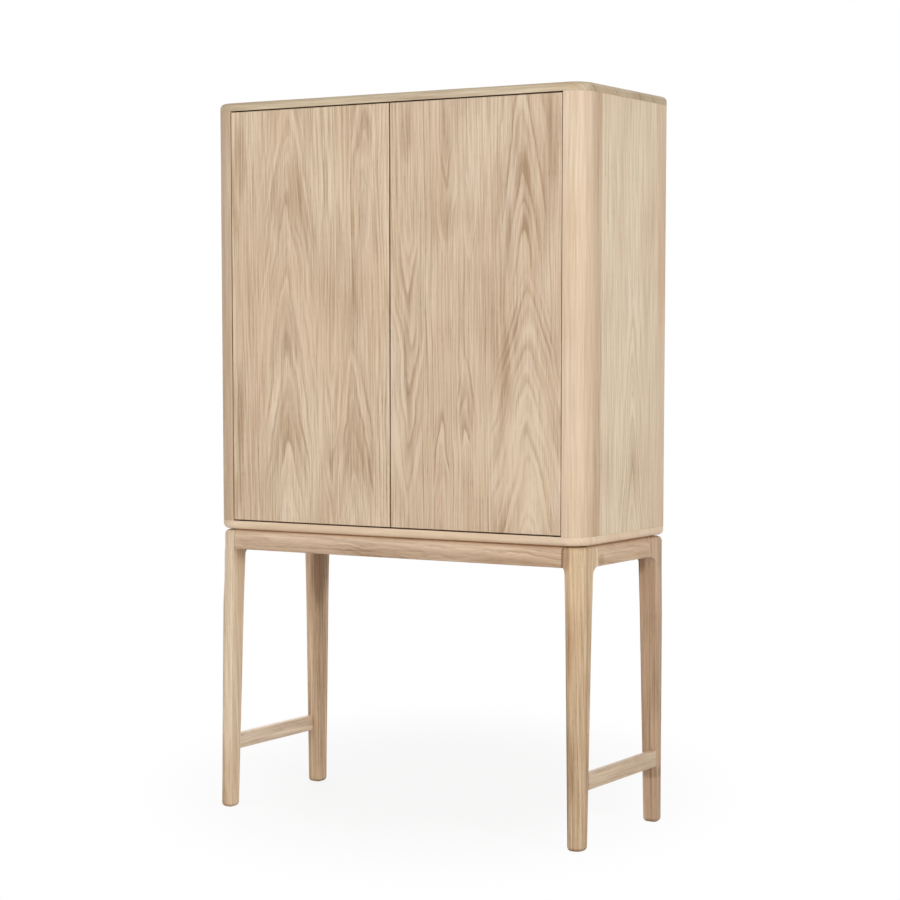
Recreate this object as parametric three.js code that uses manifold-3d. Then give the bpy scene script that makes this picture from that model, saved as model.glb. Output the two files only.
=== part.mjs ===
// Bar cabinet on a tall leg frame: two plain doors, a fitted interior and a fold-out shelf.
// Millimetres, +Z up, +X to the right, the doors face -Y. The model stands on Z = 0.
import * as THREE from 'three';
import { mergeVertices } from 'three/addons/utils/BufferGeometryUtils.js';
import Module from 'manifold-3d';

const wasm = await Module();
wasm.setup();

// Whole cabinet
const cabinetWidth = 1000;
const cabinetDepth = 414;
const cabinetHeight = 1685;
const frontCornerRadius = 49;
const backCornerRadius = 22;
const edgeRound = 12;
const seamArris = 0.5;
const cornerLimitShare = 0.95;

// Clearances and cuts
const pinClearance = 0.3;
const faceClearance = 0.3;
const overrun = 2;

// Leg frame
const frameHeight = 675;
const frameInset = 3;
const railHeight = 45;
const railThickness = 28;
const railArris = 1.5;
const blockWidth = 48.5;
const blockDepth = 78;
const frontLegTopWidth = 43.5;
const frontLegTopDepth = 54;
const backLegTopWidth = 46;
const backLegTopDepth = 44;
const legFootWidth = 34.5;
const legFootDepth = 34;
const legFilletHeight = 18;
const legEdgeRadius = 4;
const frontLegShoulderRadius = 36;
const frontLegFootRadius = 14;
const backLegShoulderRadius = 11;
const backLegFootRadius = 9;
const footChamferWidth = 7;
const footChamferHeight = 10;
const stretcherLowEdge = 134;
const stretcherHeight = 38;
const stretcherThickness = 16;
const stretcherArris = 2;

// Shadow gap between leg frame and carcass
const shadowGap = 3;
const stripRecess = 13;
const stripWidth = 14;

// Carcass
const boardThickness = 20;
const frontPostWidth = 53.5;
const frontPostDepth = 79;
const backPostDepth = 58;
const sidePanelThickness = 24;
const backPanelThickness = 9;
const backPanelInset = 6;

// Interior
const lowerBayHeight = 312;
const worktopThickness = 20;
const upperBayHeight = 243;
const upperShelfThickness = 20;
const partitionCentre = -135;
const partitionThickness = 18;
const rackThickness = 10;
const rackColumns = 3;
const rackRows = 2;
const lapClearance = 0.3;
const stemRailInset = 12;
const stemRailSpacing = 95;
const stemRailFirst = 150;
const stemRailCount = 3;
const stemWebWidth = 14;
const stemWebHeight = 16;
const stemFlangeWidth = 62;
const stemFlangeThickness = 5;

// Doors and their pivots
const doorThickness = 20;
const doorSideGap = 2;
const doorEndGap = 3;
const doorCentreGap = 3;
const doorArris = 2;
const pivotFromEdge = 16;
const pivotFromFront = 9;
const pivotDiameter = 6;
const pivotInDoor = 14;
const pivotInBush = 8;
const washerDiameter = 12;
const bushDiameter = 10;
const bushLength = 10;

// Push latches
const latchCentre = 30;
const latchWidth = 14;
const latchLength = 60;
const latchHeight = 16;
const latchStandoff = 4;
const plungerDiameter = 8;
const plungerLength = 30;
const plungerNose = 1;
const plungerTravel = 3;
const latchBoreSpare = 8;
const strikeThickness = 1.2;
const strikeWidth = 22;
const strikeHeight = 15;

// Fold-out shelf on the left door
const flapReach = 230;
const flapTail = 8;
const flapThickness = 16;
const flapArris = 1.5;
const flapPivotAboveWorktop = 47;
const flapPivotStandoff = 12;
const bracketFromDoorEdge = 44.2;
const bracketThickness = 12;
const bracketDepth = 70;
const bracketAbovePivot = 20;
const bracketBelowBar = 8;
const bracketCornerRadius = 10;
const flapPinDiameter = 6;
const flapPinInBracket = 8;
const flapPinInBoard = 20;
const restBarDiameter = 10;
const restBarFromPivot = 45;
const magnetDiameter = 14;
const magnetBelowTip = 24;

// Carcass bolts
const boltOffset = 300;
const boltDiameter = 6;
const boltHeadDiameter = 10;
const boltHeadHeight = 4;
const boltHeadRecess = 8;
const boltIntoBoard = 12;

// Facets
const cornerSteps = 8;
const edgeSteps = 3;
const roundSteps = 5;
const filletSteps = 5;
const circleSteps = 24;

// Derived sizes
const halfWidth = cabinetWidth / 2;
const halfDepth = cabinetDepth / 2;
const frameHalfWidth = halfWidth - frameInset;
const frameHalfDepth = halfDepth - frameInset;
const railBottom = frameHeight - railHeight;
const carcassBottom = frameHeight + shadowGap;
const interiorBottom = carcassBottom + boardThickness;
const interiorTop = cabinetHeight - boardThickness;
const interiorHalfWidth = halfWidth - sidePanelThickness;
const backPanelFront = halfDepth - backPanelInset - backPanelThickness;
const postBackFace = -halfDepth + frontPostDepth;
const doorInnerFace = -halfDepth + doorThickness;
const doorHingeEdge = halfWidth - frontPostWidth - doorSideGap;
const doorBottom = interiorBottom + doorEndGap;
const doorTop = interiorTop - doorEndGap;
const pivotX = doorHingeEdge - pivotFromEdge;
const pivotY = -halfDepth + pivotFromFront;
const worktopUnderside = interiorBottom + lowerBayHeight;
const worktopTop = worktopUnderside + worktopThickness;
const upperShelfUnderside = interiorTop - upperBayHeight - upperShelfThickness;
const shelfDepth = backPanelFront - postBackFace;
const stemRailLength = shelfDepth - 2 * stemRailInset;
const rackLeft = -interiorHalfWidth;
const rackRight = partitionCentre - partitionThickness / 2;
const rackCellWidth = (rackRight - rackLeft - (rackColumns - 1) * rackThickness) / rackColumns;
const rackCellHeight = (worktopUnderside - interiorBottom - (rackRows - 1) * rackThickness) / rackRows;
const doorFreeEdge = doorCentreGap / 2;
const doorWidth = doorHingeEdge - doorFreeEdge;
const flapCentre = -(doorHingeEdge + doorFreeEdge) / 2;
const flapWidth = doorWidth - 2 * (bracketFromDoorEdge + bracketThickness + faceClearance);
const flapPivotY = doorInnerFace + flapPivotStandoff;
const flapPivotHeight = worktopTop + flapPivotAboveWorktop;
const restBarRadius = restBarDiameter / 2;
const restBarY = flapPivotY + restBarFromPivot;
const restBarZ = flapPivotHeight - flapThickness / 2 - faceClearance - restBarRadius;
const boltY = frameHalfDepth - stripRecess - stripWidth / 2;

// Materials
const frameOak = { color: 0xcfae88, roughness: 0.55, metalness: 0 };
const sideOak = { color: 0xd2c3a3, roughness: 0.55, metalness: 0 };
const doorOak = { color: 0xd2b797, roughness: 0.52, metalness: 0 };
const innerOak = { color: 0xc9aa82, roughness: 0.6, metalness: 0 };
const darkStrip = { color: 0x3a2a1c, roughness: 0.8, metalness: 0 };
const steel = { color: 0xb8bcc0, roughness: 0.35, metalness: 1 };
const brass = { color: 0xc8a765, roughness: 0.35, metalness: 1 };
const polymer = { color: 0x4a4642, roughness: 0.6, metalness: 0 };

const group = new THREE.Group();

function addPiece(name, geometry, look) {
  const mesh = new THREE.Mesh(geometry, new THREE.MeshStandardMaterial(look));
  mesh.name = name;
  group.add(mesh);
}

// Geometry helpers

// A box between two corners.
function block(x0, x1, y0, y1, z0, z1) {
  const geometry = new THREE.BoxGeometry(x1 - x0, y1 - y0, z1 - z0);
  return geometry.translate((x0 + x1) / 2, (y0 + y1) / 2, (z0 + z1) / 2);
}

// A rectangle with a radius of its own at each corner, counter-clockwise from front left.
function cornerOutline(x0, x1, y0, y1, radii, steps) {
  const room = Math.min(x1 - x0, y1 - y0);
  const limit = radii.map((radius) => Math.min(radius, room * cornerLimitShare));
  const centres = [
    [x0 + limit[0], y0 + limit[0], Math.PI],
    [x1 - limit[1], y0 + limit[1], Math.PI * 1.5],
    [x1 - limit[2], y1 - limit[2], 0],
    [x0 + limit[3], y1 - limit[3], Math.PI / 2],
  ];
  const points = [];
  centres.forEach(([cx, cy, start], corner) => {
    for (let i = 0; i <= steps[corner]; i += 1) {
      const angle = start + (Math.PI / 2) * (i / steps[corner]);
      points.push([cx + limit[corner] * Math.cos(angle), cy + limit[corner] * Math.sin(angle)]);
    }
  });
  return points;
}

// One closed solid through a stack of outlines with the same number of points.
function loft(rings) {
  const count = rings[0].points.length;
  const positions = [];
  const indices = [];
  rings.forEach(({ points, z }) => points.forEach(([x, y]) => positions.push(x, y, z)));
  for (let ring = 0; ring < rings.length - 1; ring += 1) {
    for (let i = 0; i < count; i += 1) {
      const a = ring * count + i;
      const b = ring * count + ((i + 1) % count);
      indices.push(a, b, b + count, a, b + count, a + count);
    }
  }
  [rings[0], rings[rings.length - 1]].forEach(({ points, z }, end) => {
    const centre = positions.length / 3;
    const sum = points.reduce((total, point) => [total[0] + point[0], total[1] + point[1]], [0, 0]);
    positions.push(sum[0] / count, sum[1] / count, z);
    const first = end * (rings.length - 1) * count;
    for (let i = 0; i < count; i += 1) {
      const a = first + i;
      const b = first + ((i + 1) % count);
      indices.push(...(end === 0 ? [centre, b, a] : [centre, a, b]));
    }
  });
  const geometry = new THREE.BufferGeometry();
  geometry.setAttribute('position', new THREE.Float32BufferAttribute(positions, 3));
  geometry.setIndex(indices);
  geometry.computeVertexNormals();
  return geometry;
}

// An outline pulled along +Z from z0 to z1.
function prism(points, z0, z1) {
  return loft([{ points, z: z0 }, { points, z: z1 }]);
}

// Turns a solid so that its X, Y and Z run along the given axes.
function orient(geometry, xAxis, yAxis, zAxis) {
  const axes = [xAxis, yAxis, zAxis].map((axis) => new THREE.Vector3(...axis));
  const turned = geometry.applyMatrix4(new THREE.Matrix4().makeBasis(...axes));
  turned.computeVertexNormals();
  return turned;
}

// A cylinder along +Z standing at x, y.
function rod(radius, x, y, z0, z1) {
  const geometry = new THREE.CylinderGeometry(radius, radius, z1 - z0, circleSteps);
  return geometry.rotateX(Math.PI / 2).translate(x, y, (z0 + z1) / 2);
}

// A turned solid about the Z axis from a list of [radius, height].
function turned(profile) {
  const points = profile.map(([radius, z]) => new THREE.Vector2(radius, z));
  return new THREE.LatheGeometry(points, circleSteps).rotateX(Math.PI / 2);
}

function toManifold(geometry) {
  const bare = new THREE.BufferGeometry();
  bare.setAttribute('position', geometry.getAttribute('position').clone());
  if (geometry.index) bare.setIndex(geometry.index.clone());
  const merged = mergeVertices(bare);
  const mesh = new wasm.Mesh({
    numProp: 3,
    vertProperties: new Float32Array(merged.getAttribute('position').array),
    triVerts: new Uint32Array(merged.index.array),
  });
  return new wasm.Manifold(mesh);
}

// A solid with holes or slots taken out of it.
function cut(geometry, tools) {
  let solid = toManifold(geometry);
  tools.forEach((tool) => {
    solid = solid.subtract(toManifold(tool));
  });
  const mesh = solid.getMesh();
  const result = new THREE.BufferGeometry();
  result.setAttribute('position', new THREE.BufferAttribute(new Float32Array(mesh.vertProperties), 3));
  result.setIndex(new THREE.BufferAttribute(new Uint32Array(mesh.triVerts), 1));
  return result.toNonIndexed();
}

// Depth and height of a quarter round, in steps from its start to its end.
function quarterSteps(radius, steps) {
  const table = [];
  for (let i = 0; i <= steps; i += 1) {
    const angle = (Math.PI / 2) * (i / steps);
    table.push([radius * (1 - Math.cos(angle)), radius * Math.sin(angle)]);
  }
  return table;
}

// Leg frame

// The outline of one leg at one height, with its two outer sides on the frame's outer faces.
function legOutline(sideX, sideY, size) {
  const outerX = frameHalfWidth - size.outerInset - size.inset;
  const innerX = frameHalfWidth - size.width + size.inset;
  const outerY = frameHalfDepth - size.outerInset - size.inset;
  const innerY = frameHalfDepth - size.depth + size.inset;
  const xs = [sideX * outerX, sideX * innerX].sort((a, b) => a - b);
  const ys = [sideY * outerY, sideY * innerY].sort((a, b) => a - b);
  const corners = [[-1, -1], [1, -1], [1, 1], [-1, 1]];
  const isOuter = corners.map(([x, y]) => x === sideX && y === sideY);
  const outerRadius = size.outerRadius - size.outerInset;
  const radii = isOuter.map((outer) => (outer ? outerRadius : size.edgeRadius));
  const steps = isOuter.map((outer) => (outer ? cornerSteps : edgeSteps));
  return cornerOutline(xs[0], xs[1], ys[0], ys[1], radii, steps);
}

// The tapered shaft's size at one height, for a front or a back leg.
function shaftSize(isFront, z) {
  const rise = z / (railBottom - legFilletHeight);
  const topWidth = isFront ? frontLegTopWidth : backLegTopWidth;
  const topDepth = isFront ? frontLegTopDepth : backLegTopDepth;
  const topRadius = isFront ? frontLegShoulderRadius : backLegShoulderRadius;
  const footRadius = isFront ? frontLegFootRadius : backLegFootRadius;
  return {
    width: legFootWidth + (topWidth - legFootWidth) * rise,
    depth: legFootDepth + (topDepth - legFootDepth) * rise,
    outerRadius: footRadius + (topRadius - footRadius) * rise,
    edgeRadius: legEdgeRadius,
    inset: 0,
    outerInset: 0,
  };
}

// Foot, tapered shaft, fillet and corner block of one leg in one piece.
function makeLeg(sideX, sideY) {
  const isFront = sideY < 0;
  const blockRadius = (isFront ? frontCornerRadius : backCornerRadius) - frameInset;
  const shoulderZ = railBottom - legFilletHeight;
  const shoulder = shaftSize(isFront, shoulderZ);
  const rings = [];
  const addRing = (z, size) => rings.push({ points: legOutline(sideX, sideY, size), z });
  for (let i = 0; i <= edgeSteps; i += 1) {
    const angle = (Math.PI / 2) * (i / edgeSteps);
    const z = footChamferHeight * (1 - Math.cos(angle));
    addRing(z, { ...shaftSize(isFront, z), inset: footChamferWidth * (1 - Math.sin(angle)) });
  }
  addRing(shoulderZ, shoulder);
  quarterSteps(1, filletSteps).slice(1).forEach(([spread, rise]) => {
    addRing(shoulderZ + legFilletHeight * rise, {
      width: shoulder.width + (blockWidth - shoulder.width) * spread,
      depth: shoulder.depth + (blockDepth - shoulder.depth) * spread,
      outerRadius: shoulder.outerRadius + (blockRadius - shoulder.outerRadius) * spread,
      edgeRadius: legEdgeRadius + (seamArris - legEdgeRadius) * spread,
      inset: 0,
      outerInset: 0,
    });
  });
  quarterSteps(edgeRound, roundSteps).forEach(([inset, rise]) => {
    addRing(frameHeight - edgeRound + rise, {
      width: blockWidth,
      depth: blockDepth,
      outerRadius: blockRadius,
      edgeRadius: seamArris,
      inset: 0,
      outerInset: inset,
    });
  });
  return loft(rings);
}

// A rail with a quarter round along its top outer edge; inward points from its outer face.
function makeRail(inward, length, outerFace, boltHoles) {
  const profile = [
    [railArris, 0],
    [railThickness - railArris, 0],
    [railThickness, railArris],
    [railThickness, railHeight],
  ];
  quarterSteps(edgeRound, roundSteps).reverse().forEach(([depth, rise]) => {
    profile.push([depth, railHeight - edgeRound + rise]);
  });
  profile.push([0, railArris]);
  const along = [inward[1], -inward[0], 0];
  const rail = orient(prism(profile, -length / 2, length / 2), inward, [0, 0, 1], along);
  rail.translate(-inward[0] * outerFace, -inward[1] * outerFace, railBottom);
  return boltHoles.length > 0 ? cut(rail, boltHoles) : rail;
}

function boltHole(x, y) {
  return rod(boltDiameter / 2 + pinClearance, x, y, railBottom - overrun, carcassBottom + overrun);
}

function boltCounterbore(x, y) {
  const radius = boltHeadDiameter / 2 + pinClearance;
  return rod(radius, x, y, railBottom - overrun, railBottom + boltHeadRecess);
}

function makeBolt(x, y) {
  const head = railBottom + boltHeadRecess - boltHeadHeight;
  const shoulder = railBottom + boltHeadRecess;
  const tip = carcassBottom + boltIntoBoard;
  const bolt = turned([
    [0, head],
    [boltHeadDiameter / 2, head],
    [boltHeadDiameter / 2, shoulder],
    [boltDiameter / 2, shoulder],
    [boltDiameter / 2, tip],
    [0, tip],
  ]);
  return bolt.translate(x, y, 0);
}

// A tie between the front and back leg of one side; its sloping ends follow the legs' taper.
function makeStretcher(side) {
  const low = stretcherLowEdge;
  const high = stretcherLowEdge + stretcherHeight;
  const front = (z) => shaftSize(true, z).depth - frameHalfDepth;
  const back = (z) => frameHalfDepth - shaftSize(false, z).depth;
  const ring = (x, arris) => {
    const bottom = low + arris;
    const top = high - arris;
    const points = [[front(bottom), bottom], [back(bottom), bottom], [back(top), top], [front(top), top]];
    return { points, z: x };
  };
  const rings = [
    ring(0, stretcherArris),
    ring(stretcherArris, 0),
    ring(stretcherThickness - stretcherArris, 0),
    ring(stretcherThickness, stretcherArris),
  ];
  const inner = side > 0 ? frameHalfWidth - stretcherThickness : -frameHalfWidth;
  return orient(loft(rings), [0, 1, 0], [0, 0, 1], [1, 0, 0]).translate(inner, 0, 0);
}

const sides = [['left', -1], ['right', 1]];
const ends = [['front', -1], ['back', 1]];

function addLegFrame() {
  ends.forEach(([end, signY]) => {
    sides.forEach(([side, signX]) => addPiece(`leg_${end}_${side}`, makeLeg(signX, signY), frameOak));
  });
  const longLength = 2 * (frameHalfWidth - blockWidth);
  const shortLength = 2 * (frameHalfDepth - blockDepth);
  ends.forEach(([end, signY]) => {
    const holes = [-boltOffset, boltOffset].flatMap((x) => [
      boltHole(x, signY * boltY),
      boltCounterbore(x, signY * boltY),
    ]);
    const rail = makeRail([0, -signY, 0], longLength, frameHalfDepth, holes);
    addPiece(`rail_${end}`, rail, frameOak);
  });
  sides.forEach(([side, signX]) => {
    addPiece(`rail_${side}`, makeRail([-signX, 0, 0], shortLength, frameHalfWidth, []), frameOak);
    addPiece(`stretcher_${side}`, makeStretcher(signX), frameOak);
  });
}

// Four dark strips carry the carcass and keep the shadow gap open.
function addShadowStrips() {
  const outerX = frameHalfWidth - stripRecess;
  const outerY = frameHalfDepth - stripRecess;
  const halfLong = halfWidth - frontCornerRadius;
  const halfShort = halfDepth - frontCornerRadius;
  ends.forEach(([end, signY]) => {
    const ys = [signY * outerY, signY * (outerY - stripWidth)].sort((a, b) => a - b);
    const strip = block(-halfLong, halfLong, ys[0], ys[1], frameHeight, carcassBottom);
    const holes = [-boltOffset, boltOffset].map((x) => boltHole(x, signY * boltY));
    addPiece(`shadow_strip_${end}`, cut(strip, holes), darkStrip);
  });
  sides.forEach(([side, signX]) => {
    const xs = [signX * outerX, signX * (outerX - stripWidth)].sort((a, b) => a - b);
    const strip = block(xs[0], xs[1], -halfShort, halfShort, frameHeight, carcassBottom);
    addPiece(`shadow_strip_${side}`, strip, darkStrip);
  });
}

function addBolts() {
  ends.forEach(([end, signY]) => {
    sides.forEach(([side, signX]) => {
      const bolt = makeBolt(signX * boltOffset, signY * boltY);
      addPiece(`carcass_bolt_${end}_${side}`, bolt, steel);
    });
  });
}

// Carcass

// The cabinet's outline, drawn in by one distance all round.
function boardOutline(inset) {
  const x = halfWidth - inset;
  const y = halfDepth - inset;
  const front = frontCornerRadius - inset;
  const back = backCornerRadius - inset;
  const steps = [cornerSteps, cornerSteps, cornerSteps, cornerSteps];
  return cornerOutline(-x, x, -y, y, [front, front, back, back], steps);
}

function bushHole(side, z0, z1) {
  return rod(bushDiameter / 2 + pinClearance, side * pivotX, pivotY, z0, z1);
}

function makeBottomBoard() {
  const rings = quarterSteps(edgeRound, roundSteps).reverse().map(([inset, rise]) => ({
    points: boardOutline(inset),
    z: carcassBottom + edgeRound - rise,
  }));
  rings.push({ points: boardOutline(0), z: interiorBottom });
  const seat = interiorBottom - bushLength - pinClearance;
  const holes = sides.map(([, sign]) => bushHole(sign, seat, interiorBottom + overrun));
  const radius = boltDiameter / 2 + pinClearance;
  ends.forEach(([, signY]) => {
    sides.forEach(([, signX]) => {
      const top = carcassBottom + boltIntoBoard + pinClearance;
      holes.push(rod(radius, signX * boltOffset, signY * boltY, carcassBottom - overrun, top));
    });
  });
  return cut(loft(rings), holes);
}

function makeTopBoard() {
  const rings = quarterSteps(edgeRound, roundSteps).map(([inset, rise]) => ({
    points: boardOutline(inset),
    z: cabinetHeight - edgeRound + rise,
  }));
  rings.unshift({ points: boardOutline(0), z: interiorTop });
  const seat = interiorTop + bushLength + pinClearance;
  const holes = sides.map(([, sign]) => bushHole(sign, interiorTop - overrun, seat));
  return cut(loft(rings), holes);
}

// A solid corner post; the outer vertical corner follows the cabinet's own corner.
function makePost(sideX, sideY, width, depth, cornerRadius) {
  const xs = [sideX * halfWidth, sideX * (halfWidth - width)].sort((a, b) => a - b);
  const ys = [sideY * halfDepth, sideY * (halfDepth - depth)].sort((a, b) => a - b);
  const corners = [[-1, -1], [1, -1], [1, 1], [-1, 1]];
  const isOuter = corners.map(([x, y]) => x === sideX && y === sideY);
  const radii = isOuter.map((outer) => (outer ? cornerRadius : seamArris));
  const steps = isOuter.map((outer) => (outer ? cornerSteps : 1));
  return prism(cornerOutline(xs[0], xs[1], ys[0], ys[1], radii, steps), interiorBottom, interiorTop);
}

function addCarcass() {
  addPiece('bottom_board', makeBottomBoard(), sideOak);
  addPiece('top_board', makeTopBoard(), sideOak);
  sides.forEach(([side, sign]) => {
    const xs = [sign * halfWidth, sign * interiorHalfWidth].sort((a, b) => a - b);
    const backPostFace = halfDepth - backPostDepth;
    const panel = block(xs[0], xs[1], postBackFace, backPostFace, interiorBottom, interiorTop);
    addPiece(`side_panel_${side}`, panel, sideOak);
    const front = makePost(sign, -1, frontPostWidth, frontPostDepth, frontCornerRadius);
    addPiece(`front_post_${side}`, front, frameOak);
    const back = makePost(sign, 1, sidePanelThickness, backPostDepth, backCornerRadius);
    addPiece(`back_post_${side}`, back, frameOak);
  });
  const x = interiorHalfWidth;
  const behind = backPanelFront + backPanelThickness;
  addPiece('back_panel', block(-x, x, backPanelFront, behind, interiorBottom, interiorTop), innerOak);
}

// Interior fittings

function makeShelf(underside, thickness) {
  const x = interiorHalfWidth;
  return block(-x, x, postBackFace, backPanelFront, underside, underside + thickness);
}

function rackDividerLeft(column) {
  return rackLeft + rackCellWidth * column + rackThickness * (column - 1);
}

// Upright and level dividers slot into each other at half depth.
function addBottleRack() {
  const middle = (postBackFace + backPanelFront) / 2;
  const levelLow = interiorBottom + rackCellHeight;
  const levelHigh = levelLow + rackThickness;
  const levelSlots = [];
  for (let column = 1; column < rackColumns; column += 1) {
    const left = rackDividerLeft(column);
    const right = left + rackThickness;
    const upright = block(left, right, postBackFace, backPanelFront, interiorBottom, worktopUnderside);
    const slot = block(
      left - overrun, right + overrun,
      postBackFace - overrun, middle + lapClearance / 2,
      levelLow - lapClearance, levelHigh + lapClearance,
    );
    addPiece(`rack_upright_${column}`, cut(upright, [slot]), innerOak);
    levelSlots.push(block(
      left - lapClearance, right + lapClearance,
      middle - lapClearance / 2, backPanelFront + overrun,
      levelLow - overrun, levelHigh + overrun,
    ));
  }
  const level = block(rackLeft, rackRight, postBackFace, backPanelFront, levelLow, levelHigh);
  addPiece('rack_level', cut(level, levelSlots), innerOak);
}

// A T-shaped rail that holds glasses by their feet.
function makeStemRail(x) {
  const web = stemWebWidth / 2;
  const flange = stemFlangeWidth / 2;
  const height = stemWebHeight + stemFlangeThickness;
  const shape = new THREE.Shape([
    new THREE.Vector2(-flange, 0),
    new THREE.Vector2(flange, 0),
    new THREE.Vector2(flange, stemFlangeThickness),
    new THREE.Vector2(web, stemFlangeThickness),
    new THREE.Vector2(web, height),
    new THREE.Vector2(-web, height),
    new THREE.Vector2(-web, stemFlangeThickness),
    new THREE.Vector2(-flange, stemFlangeThickness),
  ]);
  const rail = new THREE.ExtrudeGeometry(shape, { depth: stemRailLength, bevelEnabled: false });
  const back = backPanelFront - stemRailInset;
  return orient(rail, [1, 0, 0], [0, 0, 1], [0, -1, 0]).translate(x, back, upperShelfUnderside - height);
}

function addInterior() {
  addPiece('worktop_shelf', makeShelf(worktopUnderside, worktopThickness), innerOak);
  addPiece('upper_shelf', makeShelf(upperShelfUnderside, upperShelfThickness), innerOak);
  const half = partitionThickness / 2;
  const partition = block(
    partitionCentre - half, partitionCentre + half,
    postBackFace, backPanelFront,
    interiorBottom, worktopUnderside,
  );
  addPiece('lower_partition', partition, innerOak);
  addBottleRack();
  for (let i = 0; i < stemRailCount; i += 1) {
    const rail = makeStemRail(stemRailFirst + stemRailSpacing * i);
    addPiece(`stem_rail_${i + 1}`, rail, innerOak);
  }
}

// Doors

// A flat panel in the XZ plane with a soft edge, its front at frontY.
function makePanel(x0, x1, z0, z1, frontY, thickness, frontArris) {
  const steps = [1, 1, 1, 1];
  const ring = (depth, inset) => ({
    points: cornerOutline(
      x0 + inset, x1 - inset, z0 + inset, z1 - inset,
      [seamArris, seamArris, seamArris, seamArris], steps,
    ),
    z: depth,
  });
  const rings = [ring(0, seamArris), ring(seamArris, 0)];
  quarterSteps(frontArris, edgeSteps).forEach(([inset, rise]) => {
    rings.push(ring(thickness - frontArris + rise, inset));
  });
  const panel = orient(loft(rings), [1, 0, 0], [0, 0, 1], [0, -1, 0]);
  return panel.translate(0, frontY + thickness, 0);
}

function makeDoor(side) {
  const xs = [side * doorHingeEdge, side * doorFreeEdge].sort((a, b) => a - b);
  const panel = makePanel(xs[0], xs[1], doorBottom, doorTop, -halfDepth, doorThickness, doorArris);
  const radius = pivotDiameter / 2 + pinClearance;
  const depth = pivotInDoor + pinClearance;
  return cut(panel, [
    rod(radius, side * pivotX, pivotY, doorTop - depth, doorTop + overrun),
    rod(radius, side * pivotX, pivotY, doorBottom - overrun, doorBottom + depth),
  ]);
}

// A pivot pin with a washer collar; end is +1 for the top pin and -1 for the bottom pin.
function makePivotPin(side, end) {
  const doorEdge = end > 0 ? doorTop : doorBottom;
  const boardFace = end > 0 ? interiorTop : interiorBottom;
  const radius = pivotDiameter / 2;
  const heights = [
    doorEdge - end * pivotInDoor,
    doorEdge + end * faceClearance,
    boardFace - end * faceClearance,
    boardFace + end * pivotInBush,
  ].sort((a, b) => a - b);
  const pin = turned([
    [0, heights[0]],
    [radius, heights[0]],
    [radius, heights[1]],
    [washerDiameter / 2, heights[1]],
    [washerDiameter / 2, heights[2]],
    [radius, heights[2]],
    [radius, heights[3]],
    [0, heights[3]],
  ]);
  return pin.translate(side * pivotX, pivotY, 0);
}

function makeBush(side, end) {
  const low = end > 0 ? interiorTop : interiorBottom - bushLength;
  const inner = pivotDiameter / 2 + pinClearance;
  const outer = bushDiameter / 2;
  const bush = turned([
    [inner, low],
    [outer, low],
    [outer, low + bushLength],
    [inner, low + bushLength],
    [inner, low],
  ]);
  return bush.translate(side * pivotX, pivotY, 0);
}

function addDoors() {
  sides.forEach(([side, sign]) => {
    addPiece(`door_panel_${side}`, makeDoor(sign), doorOak);
    [['top', 1], ['bottom', -1]].forEach(([end, signZ]) => {
      addPiece(`door_pivot_${side}_${end}`, makePivotPin(sign, signZ), steel);
      addPiece(`pivot_bush_${side}_${end}`, makeBush(sign, signZ), brass);
    });
  });
}

// Push latches under the top board

const strikeFace = doorInnerFace + strikeThickness;
const latchFront = strikeFace + latchStandoff;
const latchZ = interiorTop - latchHeight / 2;

function makeLatchHousing(side) {
  const x = side * latchCentre;
  const half = latchWidth / 2;
  const body = block(
    x - half, x + half,
    latchFront, latchFront + latchLength,
    interiorTop - latchHeight, interiorTop,
  );
  const inside = plungerLength - (latchStandoff - faceClearance);
  const depth = inside + plungerTravel + latchBoreSpare;
  const bore = rod(plungerDiameter / 2 + pinClearance, 0, 0, -overrun, depth);
  orient(bore, [1, 0, 0], [0, 0, -1], [0, 1, 0]).translate(x, latchFront, latchZ);
  return cut(body, [bore]);
}

function makePlunger(side) {
  const radius = plungerDiameter / 2;
  const plunger = turned([
    [0, 0],
    [radius - plungerNose, 0],
    [radius, plungerNose],
    [radius, plungerLength],
    [0, plungerLength],
  ]);
  orient(plunger, [1, 0, 0], [0, 0, -1], [0, 1, 0]);
  return plunger.translate(side * latchCentre, strikeFace + faceClearance, latchZ);
}

function addLatches() {
  sides.forEach(([side, sign]) => {
    addPiece(`latch_housing_${side}`, makeLatchHousing(sign), polymer);
    addPiece(`latch_plunger_${side}`, makePlunger(sign), polymer);
    const x = sign * latchCentre;
    const top = doorTop - seamArris;
    const half = strikeWidth / 2;
    const strike = block(x - half, x + half, doorInnerFace, strikeFace, top - strikeHeight, top);
    addPiece(`strike_plate_${side}`, strike, steel);
  });
}

// Fold-out shelf on the left door

const flapBottom = flapPivotHeight - flapTail;
const flapTop = flapPivotHeight + flapReach;

// A rod along +X between two places at y, z.
function crossRod(radius, x0, x1, y, z) {
  const straight = rod(radius, 0, 0, x0, x1);
  return orient(straight, [0, 1, 0], [0, 0, 1], [1, 0, 0]).translate(0, y, z);
}

function makeFlap() {
  const half = flapWidth / 2;
  const frontY = flapPivotY - flapThickness / 2;
  const board = makePanel(
    flapCentre - half, flapCentre + half, flapBottom, flapTop,
    frontY, flapThickness, flapArris,
  );
  const radius = flapPinDiameter / 2 + pinClearance;
  const depth = flapPinInBoard + pinClearance;
  return cut(board, [-1, 1].map((sign) => {
    const edge = flapCentre + sign * half;
    const xs = [edge - sign * depth, edge + sign * overrun].sort((a, b) => a - b);
    return crossRod(radius, xs[0], xs[1], flapPivotY, flapPivotHeight);
  }));
}

// The inner face of one bracket, next to the board's end.
function bracketFace(sign) {
  return flapCentre + sign * (flapWidth / 2 + faceClearance);
}

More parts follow.
